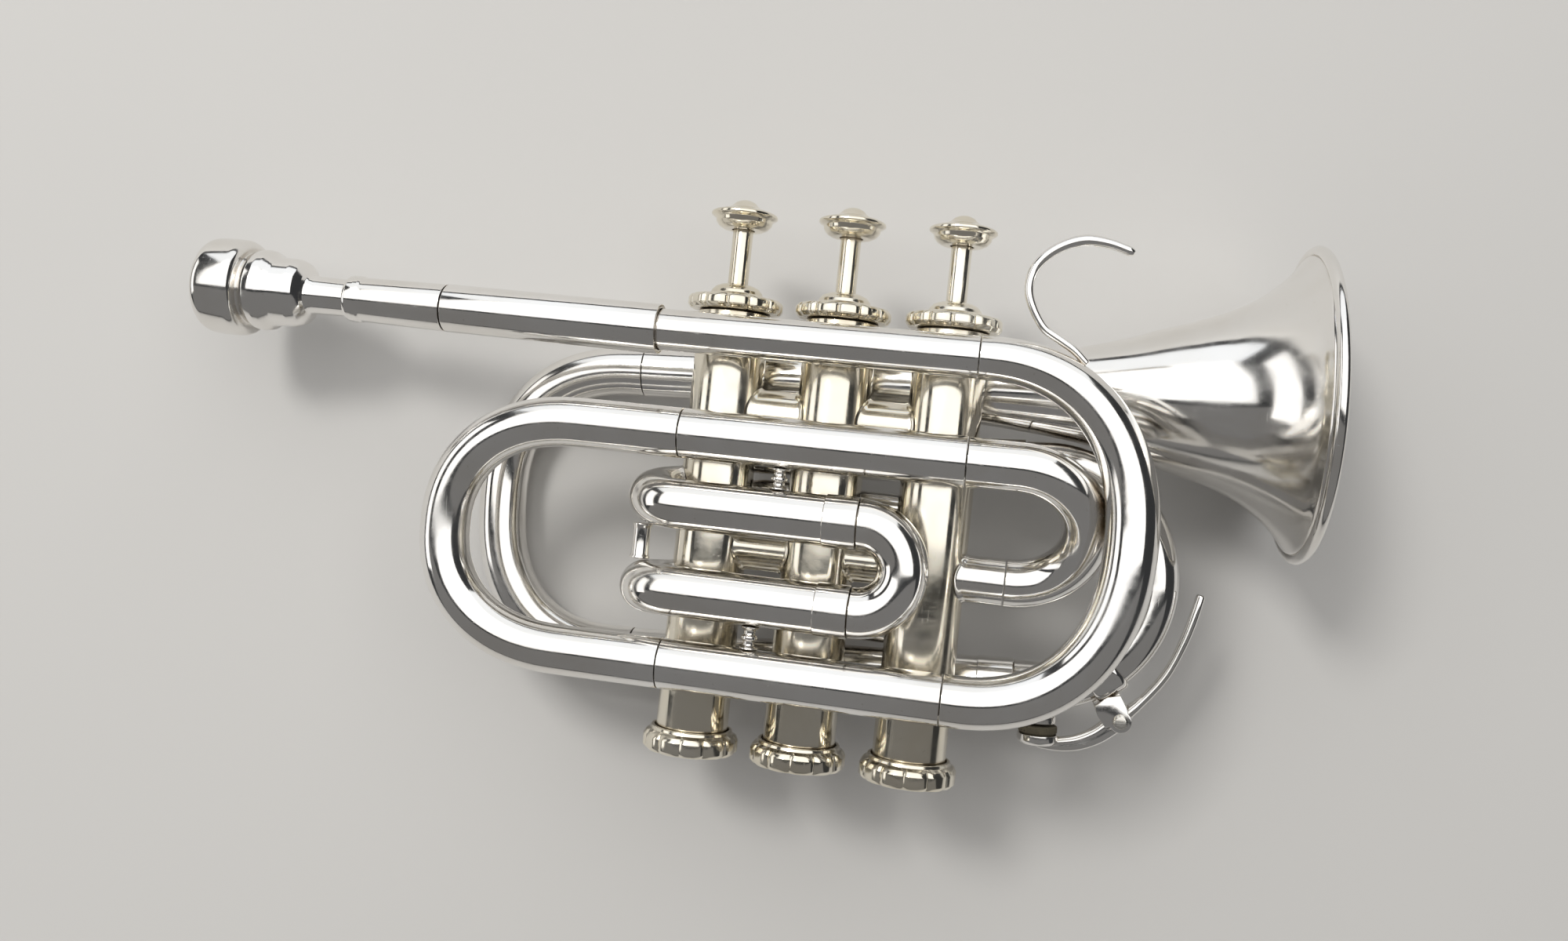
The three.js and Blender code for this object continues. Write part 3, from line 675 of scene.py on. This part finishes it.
inlet_pts = [(35.6, Y_MID, NZ), (42, Y_MID, NZ)] + half_loop(48.0, 11.4, 17.2, 14.3, 2.0, 1, lambda t: NZ * (1 - ease(min(1.0, max(0.0, (t - 0.03) / 0.85))))) + [(47.2, Y_INLET, 0.0)]
tube_piece("inlet_bow_fine", inlet_pts, 6.0, 5.2, "inlet_bow", seg=64)
inlet = straight((46.9, Y_INLET, 0), (31.0, Y_INLET, 0))
piece("inlet_tube_fine", [bent(inlet, ring(5.9, 4.9, 0, inlet.length), 56, end_cut=(28.0, 9.05))], "inlet_tube", ROOT, "silver_plate")

# ------------------------------------------------------------------ valves
LOBES = 12


def lobed(top, bottom, base, depth, sharpness=3.6):
    """A scalloped rim: the outline between the two lengths is pulled in at each notch."""
    def shape(ang, r, s):
        if s < bottom - 1e-6 or s > top + 1e-6 or r < base:
            return np.full_like(ang, r)
        u = np.abs(((ang * LOBES / (2 * math.pi)) % 1.0) * 2 - 1)
        w = min(1.0, (r - base) / 1.0)
        return r - depth * w * u ** sharpness
    return shape


for i, x in enumerate(VALVE_X):
    n = i + 1
    prof = fillet([(R_CASE, 0.0, 0.12), (R_CASE, CASE_TOP - CASE_BOT, 0.12), (R_BORE, CASE_TOP - CASE_BOT, 0.1), (R_BORE, 0.0, 0.1)])
    piece(f"valve_{n}_casing_fine", [lathe((x, CASE_BOT, 0), (0, 1, 0), prof, 96)], f"valve_{n}_casing", ROOT, "nickel_warm")
    # Top cap: scalloped rim, raised boss with a bead, and a skirt inside the casing.
    cap = fillet([(4.3, 13.0, 0.4), (5.6, 12.4, 0.8), (6.5, 11.4, 0.7), (6.75, 10.6, 0.5),
                  (7.7, 9.95, 0.7), (9.6, 9.7, 0.6), (10.6, 9.85, 0.4), (11.6, 9.65, 0.5), (12.2, 8.9, 0.5), (12.2, 7.2, 0.5), (11.5, 6.25, 0.4), (9.0, 6.02, 0.1),
                  (8.0, 6.0, 0.2), (8.0, 0.0, 0.15), (6.9, 0.0, 0.15), (6.9, 6.0, 0.2), (3.15, 6.0, 0.2), (3.15, 13.0, 0.3)])
    piece(f"valve_{n}_top_cap_fine", [lathe((x, 52.0, 0), (0, 1, 0), cap, 240, shape=lobed(10.2, 6.1, 10.0, 0.75))], f"valve_{n}_top_cap", ROOT, "nickel_warm", sharp=26)
    low = fillet([(1.3, 0.0, 0.2), (3.4, 0.0, 0.3), (4.0, 0.5, 0.4), (9.6, 0.55, 0.5), (10.2, 0.05, 0.3), (11.4, 0.0, 0.4), (12.2, 0.95, 0.5), (12.2, 3.6, 0.5), (11.6, 4.7, 0.4), (10.6, 5.2, 0.4),
                  (10.35, 6.1, 0.3), (9.55, 6.1, 0.12), (9.55, 4.6, 0.1), (8.1, 4.6, 0.1), (8.1, 1.6, 0.2), (1.3, 1.6, 0.15)])
    piece(f"valve_{n}_bottom_cap_fine", [lathe((x, -54.8, 0), (0, 1, 0), low, 240, shape=lobed(4.9, 0.0, 10.3, 0.55))], f"valve_{n}_bottom_cap", ROOT, "nickel_warm", sharp=26)
    # Piston with its open underside, shoulder, spring barrel and stem.
    pist = fillet([(0.0, 13.0), (7.15, 13.0, 0.3), (7.15, 0.0, 0.1), (8.05, 0.0, 0.15), (8.05, 81.0, 0.15), (6.4, 82.0, 0.15), (6.4, 90.9, 0.3), (3.4, 90.95, 0.2), (2.6, 91.6, 0.3), (2.6, 118.0, 0.2), (0.0, 118.0)], closed=False)
    piece(f"valve_{n}_piston_fine", [lathe((x, -36.0, 0), (0, 1, 0), pist, 64, closed=False)], f"valve_{n}_piston", f"valve_{n}_assembly", "nickel_warm")
    # Button: domed centre that slopes out to a thin rim, rounded underneath, hollowed round the stem.
    but = fillet([(0.0, 8.0), (1.4, 7.88, 1.6), (2.6, 7.3, 1.2), (3.4, 6.45, 0.8), (4.4, 5.85, 0.9), (6.2, 5.25, 1.2), (7.9, 4.75, 0.5), (8.5, 4.35, 0.3), (8.55, 3.75, 0.3), (8.0, 3.35, 0.2),
                  (7.35, 3.05, 0.35), (7.15, 2.0, 0.8), (6.3, 0.95, 0.9), (5.1, 0.35, 0.5), (2.95, 0.2, 0.15), (2.95, 3.3, 0.1), (0.0, 3.3)], closed=False)
    piece(f"valve_{n}_button_fine", [lathe((x, 79.0, 0), (0, 1, 0), but, 80, closed=False)], f"valve_{n}_button", f"valve_{n}_assembly", "nickel_warm")
    fprof = fillet([(6.2, 0.0, 0.4), (6.2, 2.5, 0.4), (3.05, 2.5, 0.3), (3.05, 0.0, 0.3)])
    piece(f"valve_{n}_felt_fine", [lathe((x, 55.2, 0), (0, 1, 0), fprof, 64)], f"valve_{n}_felt", f"valve_{n}_assembly", "felt_red")
    # Return spring under the piston, with closed end turns.
    coil = []
    turns, y0, y1, rc = 7.5, -52.5, -23.8, 5.6
    for k in range(int(turns * 40) + 1):
        u = k / (turns * 40)
        a = 2 * math.pi * turns * u
        lay = min(1.0, max(0.0, (u * turns - 0.9) / (turns - 1.8)))
        coil.append((x + rc * math.cos(a), y0 + 0.5 * min(1, u * turns) + (y1 - y0 - 1.0) * lay + 0.5 * max(0.0, (u * turns - turns + 1)), rc * math.sin(a)))
    path = Path(coil, (0, 1, 0), step=0.8, soften=0)
    wire = fillet([(0.0, 0.0), (0.5, 0.0, 0.3), (0.5, path.length, 0.3), (0.0, path.length)], closed=False)
    spring = piece(f"valve_{n}_spring_fine", [bent(path, wire, 10, closed=False, degrees=9)], f"valve_{n}_spring", ROOT, "nickel_steel")
    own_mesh(spring)

for name, x, y in (("knuckle_12_upper", -14, 33.0), ("knuckle_12_lower", -14, -1.0), ("knuckle_23_upper", 14, 33.0), ("knuckle_23_lower", 14, -1.0)):
    path = straight((x - 8, y, 0), (x + 8, y, 0))
    piece(name + "_fine", [bent(path, ring(6.0, 4.6, 0, 16), 56, start_cut=(x - 14, 9.05), end_cut=(x + 14, 9.05))], name, ROOT, "nickel_warm")

# ------------------------------------------------------------------ first valve slide
for name, y, rise in (("first_slide_upper_leg", Y_S1U, S1_RISE), ("first_slide_lower_leg", Y_S1L, 0.0)):
    pts = [(-29.0, y, 0.0), (-33.4, y, 0.0)] + arc_xz(-33.4, y, 8.5, 8.5, -math.pi / 2, -3 * math.pi / 2)[1:] + [(11.2, y, NZ)]
    pts = [(q[0], q[1] + rise * (1 - q[2] / NZ), q[2]) for q in pts]
    path = Path(pts, (0, 1, 0), step=0.4, soften=4)
    L = path.length
    prof = fillet([(6.2, 0.0), (6.2, L - 8.1, 0.1), (6.5, L - 7.95, 0.12), (6.5, L, 0.16), (5.6, L, 0.08), (5.6, 0.0)])
    piece(name + "_fine", [bent(path, prof, 64, start_cut=(-28.0, 9.05))], name, ROOT, "silver_plate")


def pull_bow(loop, out_a, out_b, r_out, r_in, r_leg, r_leg_in, normal=(0, 0, 1), seg=56, step=0.4):
    """A slide crook with the narrower legs that run inside the fixed tubes. out_a / out_b are the leg tips."""
    pts = [out_a] + loop + [out_b]
    path = Path(pts, normal, step=step)
    la = np.linalg.norm(np.asarray(loop[0], float) - np.asarray(out_a, float))
    lb = np.linalg.norm(np.asarray(loop[-1], float) - np.asarray(out_b, float))
    L = path.length
    prof = fillet([(r_leg, 0.0, 0.12), (r_leg, la - 0.3), (r_leg, la, 0.05), (r_out, la, 0.14), (r_out, L - lb, 0.14), (r_leg, L - lb, 0.05), (r_leg, L, 0.12),
                   (r_leg_in, L, 0.08), (r_leg_in, L - lb), (r_in, L - lb - 1.0), (r_in, la + 1.0), (r_leg_in, la), (r_leg_in, 0.0, 0.08)])
    return path, bent(path, prof, seg)


s1c, s1r = (Y_S1U + Y_S1L) / 2, (Y_S1U - Y_S1L) / 2
loop = [(11.5, Y_S1U, NZ)] + half_loop(12.4, s1c, s1r, s1r, 2.0, 1, NZ) + [(11.5, Y_S1L, NZ)]
_, shell = pull_bow(loop, (-31.0, Y_S1U, NZ), (-31.0, Y_S1L, NZ), 6.2, 4.9, 5.1, 4.5, seg=64)
piece("first_slide_bow_fine", [shell], "first_slide_bow", "first_slide", "silver_plate")

# Stay and braces: turned rods with flared feet.
stay = fillet([(0.0, 0.0), (2.55, 0.0, 0.2), (2.5, 0.5, 0.3), (2.2, 1.1, 0.6), (2.15, 4.4), (2.2, 7.7, 0.6), (2.5, 8.3, 0.3), (2.55, 8.8, 0.2), (0.0, 8.8)], closed=False)
piece("first_slide_stay_fine", [lathe((-43.6, -6.5, 10.4), (0, 1, 0), stay, 48, closed=False)], "first_slide_stay", ROOT, "silver_plate")


def brace_profile(length, rod, bead, foot):
    m = length / 2
    q = min(0.9, length * 0.2)
    return fillet([(0.0, 0.0), (foot, 0.0, 0.15), (foot * 0.93, 0.35, 0.25), (rod, q, 0.4), (rod, m - 0.75, 0.35), (bead, m - 0.4, 0.35), (bead, m + 0.4, 0.35),
                   (rod, m + 0.75, 0.35), (rod, length - q, 0.4), (foot * 0.93, length - 0.35, 0.25), (foot, length, 0.15), (0.0, length)], closed=False)


piece("upper_brace_fine", [lathe((-9.0, Y_S1U + 6.25, NZ), (0, 1, 0), brace_profile(Y_MID - Y_S1U - 12.5, 1.35, 1.95, 2.3), 40, closed=False)], "upper_brace", ROOT, "silver_plate")
piece("lower_brace_fine", [lathe((-12.3, Y_BOT + 6.25, NZ), (0, 1, 0), brace_profile(Y_S1L - Y_BOT - 12.5, 1.35, 1.95, 2.3), 40, closed=False)], "lower_brace", ROOT, "silver_plate")

# ------------------------------------------------------------------ third valve slide, far side
for name, y in (("third_slide_upper_leg", Y_S3U), ("third_slide_lower_leg", Y_S3L)):
    pts = [(28.0, y, -4.0), (28.0, y, -9.4)] + arc_xz(20.4, y, -9.4, 7.6, 0.0, -math.pi / 2)[1:] + [(-11.0, y, FZ)]
    path = Path(pts, (0, 1, 0), step=0.4, soften=4)
    L = path.length
    prof = fillet([(5.5, 0.0), (5.5, L - 7.1, 0.1), (5.7, L - 6.95, 0.12), (5.7, L, 0.16), (5.0, L, 0.08), (5.0, 0.0)])
    piece(name + "_fine", [bent(path, prof, 60, start_cut=(28.0, 9.05))], name, ROOT, "silver_plate")
s3c, s3r = (Y_S3U + Y_S3L) / 2, (Y_S3U - Y_S3L) / 2
loop = [(-11.3, Y_S3U, FZ)] + half_loop(-17.4, s3c, s3r, s3r, 2.0, -1, FZ) + [(-11.3, Y_S3L, FZ)]
_, shell = pull_bow(loop, (18.0, Y_S3U, FZ), (18.0, Y_S3L, FZ), 5.5, 4.3, 4.5, 3.9, seg=60)
piece("third_slide_bow_fine", [shell], "third_slide_bow", "third_slide", "silver_plate")

# ------------------------------------------------------------------ second valve slide, far side
for name, y in (("second_slide_upper_leg", Y_S2U), ("second_slide_lower_leg", Y_S2L)):
    path = straight((0, y, -7.0), (0, y, -24.0), (0, 1, 0))
    L = path.length
    prof = fillet([(4.0, 0.0), (4.0, L - 5.1, 0.1), (4.2, L - 4.95, 0.1), (4.2, L, 0.16), (3.5, L, 0.08), (3.5, 0.0)])
    piece(name + "_fine", [bent(path, prof, 52, start_cut=(0.0, 9.05))], name, ROOT, "silver_plate")
s2c, s2r = (Y_S2U + Y_S2L) / 2, (Y_S2U - Y_S2L) / 2
loop = [(0, Y_S2U, -24.3), (0, Y_S2U, -25.2)] + [(0, s2c + s2r * math.sin(math.pi / 2 - math.pi * k / 48), -25.2 - s2r * math.cos(math.pi / 2 - math.pi * k / 48)) for k in range(1, 48)] + [(0, Y_S2L, -25.2), (0, Y_S2L, -24.3)]
_, shell = pull_bow(loop, (0, Y_S2U, -11.5), (0, Y_S2L, -11.5), 4.0, 2.8, 3.1, 2.6, normal=(1, 0, 0), seg=52, step=0.3)
piece("second_slide_bow_fine", [shell], "second_slide_bow", "second_slide", "silver_plate")

# ------------------------------------------------------------------ main tuning slide and left-hand run
pts = [(-26.9, Y_FTOP, -4.0), (-26.9, Y_FTOP, -9.4)] + arc_xz(-19.3, Y_FTOP, -9.4, 7.6, math.pi, 1.5 * math.pi)[1:] + [(50.2, Y_FTOP, FZ)]
pts = [tuple(far_point(q)) for q in pts]
path = Path(pts, (0, 1, 0), step=0.4, soften=4)
L = path.length
prof = fillet([(6.4, 0.0), (6.4, L - 9.1, 0.1), (6.62, L - 8.95, 0.12), (6.62, L, 0.16), (5.8, L, 0.08), (5.8, 0.0)])
piece("tuning_upper_leg_fine", [bent(path, prof, 64, start_cut=(-28.0, 9.05))], "tuning_upper_leg", ROOT, "silver_plate")
prof = fillet([(6.4, 0.0, 0.14), (6.4, 92.7, 0.1), (6.62, 92.85, 0.12), (6.62, 101.8, 0.16), (5.8, 101.8, 0.08), (5.8, 0.0, 0.08)])
piece("tuning_lower_leg_fine", [far(lathe((-51.6, Y_FBOT, FZ), (1, 0, 0), prof, 72))], "tuning_lower_leg", ROOT, "silver_plate")
tc, tr = (Y_FTOP + Y_FBOT) / 2, (Y_FTOP - Y_FBOT) / 2
loop = [(50.5, Y_FTOP, FZ)] + half_loop(56.4, tc, 28.0, tr, 2.0, 1, FZ) + [(50.5, Y_FBOT, FZ)]
_, shell = pull_bow(loop, (18.0, Y_FTOP, FZ), (18.0, Y_FBOT, FZ), 6.2, 5.1, 5.3, 4.7, seg=72)
nipple = lathe((57.5, Y_FBOT - 5.2, FZ), (0, -1, 0), fillet([(4.6, 0.0, 0.2), (4.5, 1.2, 0.4), (4.3, 1.8, 0.3), (4.55, 2.5, 0.3), (4.55, 4.1, 0.25), (3.6, 4.35, 0.15), (1.8, 4.3, 0.1), (1.8, 0.0)]), 56)
piece("tuning_bow_fine", [far(shell), far(nipple)], "tuning_bow", "tuning_slide", "silver_plate")
left_pts = [(-52.6, BELL_START[1], FZ)] + half_loop(-55.5, 6.1, 36.0, 38.1, 2.4, -1, FZ) + [(-51.9, Y_FBOT, FZ)]
tube_piece("left_bow_fine", [tuple(far_point(q)) for q in left_pts], 6.58, 5.7, "left_bow", seg=72, scale=lambda u: 1.0 - 0.023 * math.sin(math.pi * u) ** 0.8)

# ------------------------------------------------------------------ bell
flare = smooth_profile([(6.75, 0.0), (6.82, 23.0), (6.95, 46.5), (7.4, 62.5), (8.05, 75.0), (9.0, 88.0), (10.4, 101.5), (12.5, 115.5), (14.9, 125.5), (17.5, 134.0),
                        (20.1, 142.9), (22.7, 150.5), (25.7, 156.7), (28.9, 161.4), (32.1, 165.0), (35.1, 167.7), (37.5, 169.3)], 10)
rim = []
centre, rb = (38.67, 171.05), 1.5
for k in range(0, 25):
    a = math.radians(-128 + 300 * k / 24)
    rim.append((centre[0] + rb * math.cos(a), centre[1] + rb * math.sin(a)))
inner = smooth_profile([(36.9, 170.1), (34.4, 168.2), (31.5, 165.8), (28.2, 162.2), (25.0, 157.5), (22.0, 151.2), (19.4, 143.4), (16.8, 134.4), (14.2, 125.8),
                        (11.8, 115.8), (9.7, 101.8), (8.25, 88.2), (7.3, 75.0), (6.65, 62.5), (6.2, 46.5), (6.05, 23.0), (5.95, 0.0)], 8)
prof = [flare[0]] + flare[1:] + rim + inner
piece("bell_fine", [far(lathe(BELL_START, BELL_DIR, prof, 128))], "bell", ROOT, "silver_plate", sharp=35)
brace = fillet([(0.0, 0.0), (3.0, 0.0, 0.3), (2.9, 0.8, 0.5), (1.5, 1.9, 0.7), (1.4, 7.0, 0.4), (2.05, 7.4, 0.5), (2.05, 8.6, 0.5), (1.4, 9.0, 0.4), (1.5, 13.3, 0.7), (2.9, 14.4, 0.5), (3.0, 15.2, 0.3), (0.0, 15.2)], closed=False)
piece("bell_brace_fine", [lathe((64, 42.5, -4.9), (0, 0, 1), brace, 48, closed=False)], "bell_brace", ROOT, "silver_plate")

# ------------------------------------------------------------------ finger hook
hook = Path(catmull([(60.6, 51.2, 17), (57.6, 54.0, 17), (54.0, 56.2, 17), (50.0, 58.7, 17), (46.3, 64.7, 17), (45.5, 68.5, 17), (46.7, 73.2, 17), (50.7, 77.3, 17), (56.8, 79.9, 17), (62.8, 79.6, 17), (68.8, 77.8, 17)], 24), (0, 0, 1), step=0.5)
L = hook.length
hp = fillet([(0.0, 0.0), (0.95, 0.0, 0.3), (1.0, L * 0.3), (1.2, L * 0.6), (1.42, L * 0.86), (1.45, L - 1.2, 0.8), (0.95, L, 0.6), (0.0, L)], closed=False)
piece("finger_hook_fine", [bent(hook, hp, 28, closed=False, degrees=5, longest=6,
      shape=lambda ang, r, s: r * (1.0 - 0.22 * ease(min(1.0, max(0.0, (s - 0.75 * L) / (0.2 * L)))) * np.sin(ang) ** 2))], "finger_hook", ROOT, "silver_plate")

# ------------------------------------------------------------------ water key
PIVOT = (77.8, -38.9)
PAD_X = 57.5
up = catmull([(96.2, -5.7, FZ), (95.0, -10.4, FZ), (92.5, -18.3, FZ), (88.5, -26.9, FZ), (83.2, -33.7, FZ), (79.1, -37.7, FZ)], 20)
upper = Path(up, (0, 0, 1), step=0.5)
LU = upper.length
lever_up = bent(upper, fillet([(0.0, 0.0), (1.15, 0.0, 0.7), (1.25, LU * 0.2), (1.15, LU * 0.5), (1.3, LU * 0.85), (1.75, LU), (0.0, LU)], closed=False), 24, closed=False, degrees=5, longest=6,
                shape=lambda ang, r, s: r * (1.0 + 0.25 * np.cos(ang) ** 2))
down = catmull([(76.5, -40.1, FZ), (72.5, -43.4, FZ), (67.5, -45.8, FZ), (62.1, -46.7, FZ), (PAD_X, -46.75, FZ)], 20)
tail = Path(down, (0, 0, 1), step=0.5)
LT = tail.length
lever_tail = bent(tail, fillet([(0.0, 0.0), (1.5, 0.0, 0.3), (1.3, LT * 0.35), (1.1, LT - 6.0), (0.75, LT, 0.4), (0.0, LT)], closed=False), 24, closed=False, degrees=5, longest=6,
                  shape=lambda ang, r, s: r * (1.0 + 0.75 * np.sin(ang) ** 2))
cup = lathe((PAD_X, -47.2, FZ), (0, 1, 0), fillet([(0.0, 0.0), (2.4, 0.05, 0.6), (4.4, 0.3, 0.6), (5.25, 1.2, 0.5), (5.25, 2.85, 0.15), (4.62, 3.05, 0.15), (4.6, 2.3, 0.15), (0.0, 2.3)], closed=False), 72, closed=False)
barrel = lathe((*PIVOT, FZ - 2.6), (0, 0, 1), fillet([(2.55, 0.0, 0.25), (2.55, 5.2, 0.25), (1.4, 5.2, 0.1), (1.4, 0.0, 0.1)]), 48)
piece("water_key_fine", [far(g) for g in (lever_up, lever_tail, cup, barrel)], "water_key", "water_key_lever", "silver_plate", sharp=30)
corkp = fillet([(0.0, 0.0), (4.35, 0.0, 0.15), (4.35, 0.7, 0.1), (4.95, 0.85, 0.2), (4.95, 2.6, 0.4), (0.0, 2.75)], closed=False)
piece("water_key_cork_fine", [far(lathe((PAD_X, -44.7, FZ), (0, 1, 0), corkp, 56, closed=False))], "water_key_cork", "water_key_lever", "cork")
pin = fillet([(0.0, 0.0), (1.3, 0.05, 0.4), (1.9, 0.45, 0.25), (1.9, 0.75, 0.1), (1.1, 0.8, 0.05), (1.1, 9.6, 0.05), (1.9, 9.65, 0.1), (1.9, 9.95, 0.25), (1.3, 10.35, 0.4), (0.0, 10.4)], closed=False)
piece("water_key_pin_fine", [far(lathe((*PIVOT, FZ - 5.2), (0, 0, 1), pin, 40, closed=False))], "water_key_pin", "tuning_slide", "nickel_steel")


# Saddle: a band that hugs the outside of the bow, with two ears for the pin.
def bow_point(t):
    return np.array([56.4 + 28.0 * math.cos(t), tc + tr * math.sin(t)])


def saddle_band():
    ts = np.linspace(math.radians(-63.0), math.radians(-48.0), 15)
    rows = []
    for k, t in enumerate(ts):
        c = bow_point(t)
        d = np.array([-28.0 * math.sin(t), tr * math.cos(t)])
        d /= np.linalg.norm(d)
        outw = np.array([d[1], -d[0]])
        e = min(1.0, (min(k, len(ts) - 1 - k) + 0.35) / 1.6)
        ring_ = []
        for j in range(33):
            a = math.radians(-98 + 196 * j / 32)
            r = 6.3 + 1.0 * math.sqrt(max(0.05, e)) * math.sqrt(max(0.15, 1 - (abs(a) / 1.85) ** 6))
            ring_.append((*(c + outw * r * math.cos(a)), FZ + r * math.sin(a)))
        for j in range(33):
            a = math.radians(98 - 196 * j / 32)
            ring_.append((*(c + outw * 6.24 * math.cos(a)), FZ + 6.24 * math.sin(a)))
        rows.append(ring_)
    n = len(rows[0])
    verts = np.array([p for r_ in rows for p in r_])
    faces = []
    for k in range(len(rows) - 1):
        for j in range(n):
            j2 = (j + 1) % n
            faces.append((k * n + j, k * n + j2, (k + 1) * n + j2, (k + 1) * n + j))
    for k in (0, len(rows) - 1):
        for j in range(32):
            a_, b_, c_, d_ = k * n + j, k * n + j + 1, k * n + (n - 2 - j), k * n + (n - 1 - j)
            faces.append((a_, b_, c_, d_) if k else (d_, c_, b_, a_))
    return verts, faces


def ear(z0, z1):
    pts = [(71.1, -35.5), (72.1, -38.1), (74.1, -40.7)]
    for k in range(0, 11):
        a = math.radians(-150 + 200 * k / 10)
        pts.append((PIVOT[0] + 2.9 * math.cos(a), PIVOT[1] + 2.9 * math.sin(a)))
    pts += [(79.2, -35.2), (77.5, -32.3), (74.1, -32.9)]
    return extrude(pts, z0, z1, 0.28)


piece("water_key_saddle_fine", [far(saddle_band()), far(ear(FZ - 4.4, FZ - 2.95)), far(ear(FZ + 2.95, FZ + 4.4))], "water_key_saddle", "tuning_slide", "silver_plate")

# ------------------------------------------------------------------ floor, light, camera
scene = bpy.context.scene
me = bpy.data.meshes.new("floor")
half = 3.2
me.from_pydata([(-half, -half, 0), (half, -half, 0), (half, half, 0), (-half, half, 0)], [], [(0, 1, 2, 3)])
me.update()
floor = bpy.data.objects.new("floor", me)
scene.collection.objects.link(floor)
fm, t = node_material("floor_pale")
coords = t.nodes.new("ShaderNodeTexCoord").outputs["Object"]
out = t.nodes.new("ShaderNodeOutputMaterial")
b = t.nodes.new("ShaderNodeBsdfPrincipled")
t.links.new(b.outputs["BSDF"], out.inputs["Surface"])
t.links.new(mix_rgb(t, noise(t, coords, 3.0, 3.0), (0.60, 0.59, 0.575), (0.64, 0.63, 0.615)), b.inputs["Base Color"])
b.inputs["Roughness"].default_value = 0.85
b.inputs["Specular IOR Level"].default_value = 0.2
me.materials.append(fm)

world = bpy.data.worlds.new("studio")
scene.world = world
world.use_nodes = True
world.node_tree.nodes["Background"].inputs["Color"].default_value = (0.80, 0.82, 0.86, 1.0)
world.node_tree.nodes["Background"].inputs["Strength"].default_value = 0.10


def area(name, place, aim, sx, sy, power, colour=(1, 1, 1), spin=0.0):
    d = bpy.data.lights.new(name, "AREA")
    d.shape = "RECTANGLE"
    d.size, d.size_y = sx, sy
    d.energy = power
    d.color = colour
    o = bpy.data.objects.new(name, d)
    scene.collection.objects.link(o)
    z = unit(np.asarray(place, float) - np.asarray(aim, float))
    x = unit(np.cross((0, 1, 0) if abs(z[2]) > 0.95 else (0, 0, 1), z))
    y = np.cross(z, x)
    a = math.radians(spin)
    x, y = x * math.cos(a) + y * math.sin(a), y * math.cos(a) - x * math.sin(a)
    m = Matrix.Identity(4)
    for i in range(3):
        m[i][0], m[i][1], m[i][2], m[i][3] = x[i], y[i], z[i], place[i]
    o.matrix_world = m
    o.visible_camera = False
    return o


area("overhead", (-0.40, 1.43, 2.0), (-0.40, 1.43, 0.0), 4.2, 3.2, 132.0, (1.0, 0.99, 0.97))
area("key", (-1.0, 0.95, 1.9), (0.0, 0.0, 0.03), 0.5, 0.5, 48.0, (1.0, 0.985, 0.95))
area("left_wall", (-4.0, 0.9, 1.25), (0.0, 0.9, 1.1), 4.2, 1.4, 55.0, (1.0, 0.985, 0.96))
area("side_wall", (-0.4, 3.1, 1.2), (-0.4, 0.0, 0.9), 4.6, 1.6, 55.0, (0.96, 0.98, 1.0))
area("low_fill", (-0.5, -1.52, 1.10), (-0.5, -0.86, 0.35), 7.0, 2.87, 21.0, (1.0, 0.97, 0.94))

# Camera at the photograph's viewing angle.
CAM_T = np.array([46.6039, 20.7201, 334.9376])
RIGHT_T = np.array([0.98009925, 0.10401999, -0.16907188])
DOWN_T = np.array([0.10332692, -0.99456358, -0.01291674])
FWD_T = np.array([-0.16949633, -0.00480999, -0.98551908])
cam = bpy.data.cameras.new("camera")
cam.sensor_fit = "HORIZONTAL"
cam.sensor_width = 36.0
cam.lens = 30.600
cam.clip_start, cam.clip_end = 0.02, 50.0
co = bpy.data.objects.new("camera", cam)
scene.collection.objects.link(co)
place = to_frame([CAM_T])[0]
xa, ya, za = TURN @ RIGHT_T, -(TURN @ DOWN_T), -(TURN @ FWD_T)
m = Matrix.Identity(4)
for i in range(3):
    m[i][0], m[i][1], m[i][2], m[i][3] = xa[i], ya[i], za[i], place[i]
co.matrix_world = m
scene.camera = co

scene.view_settings.view_transform = "Standard"
scene.view_settings.exposure = -1.18

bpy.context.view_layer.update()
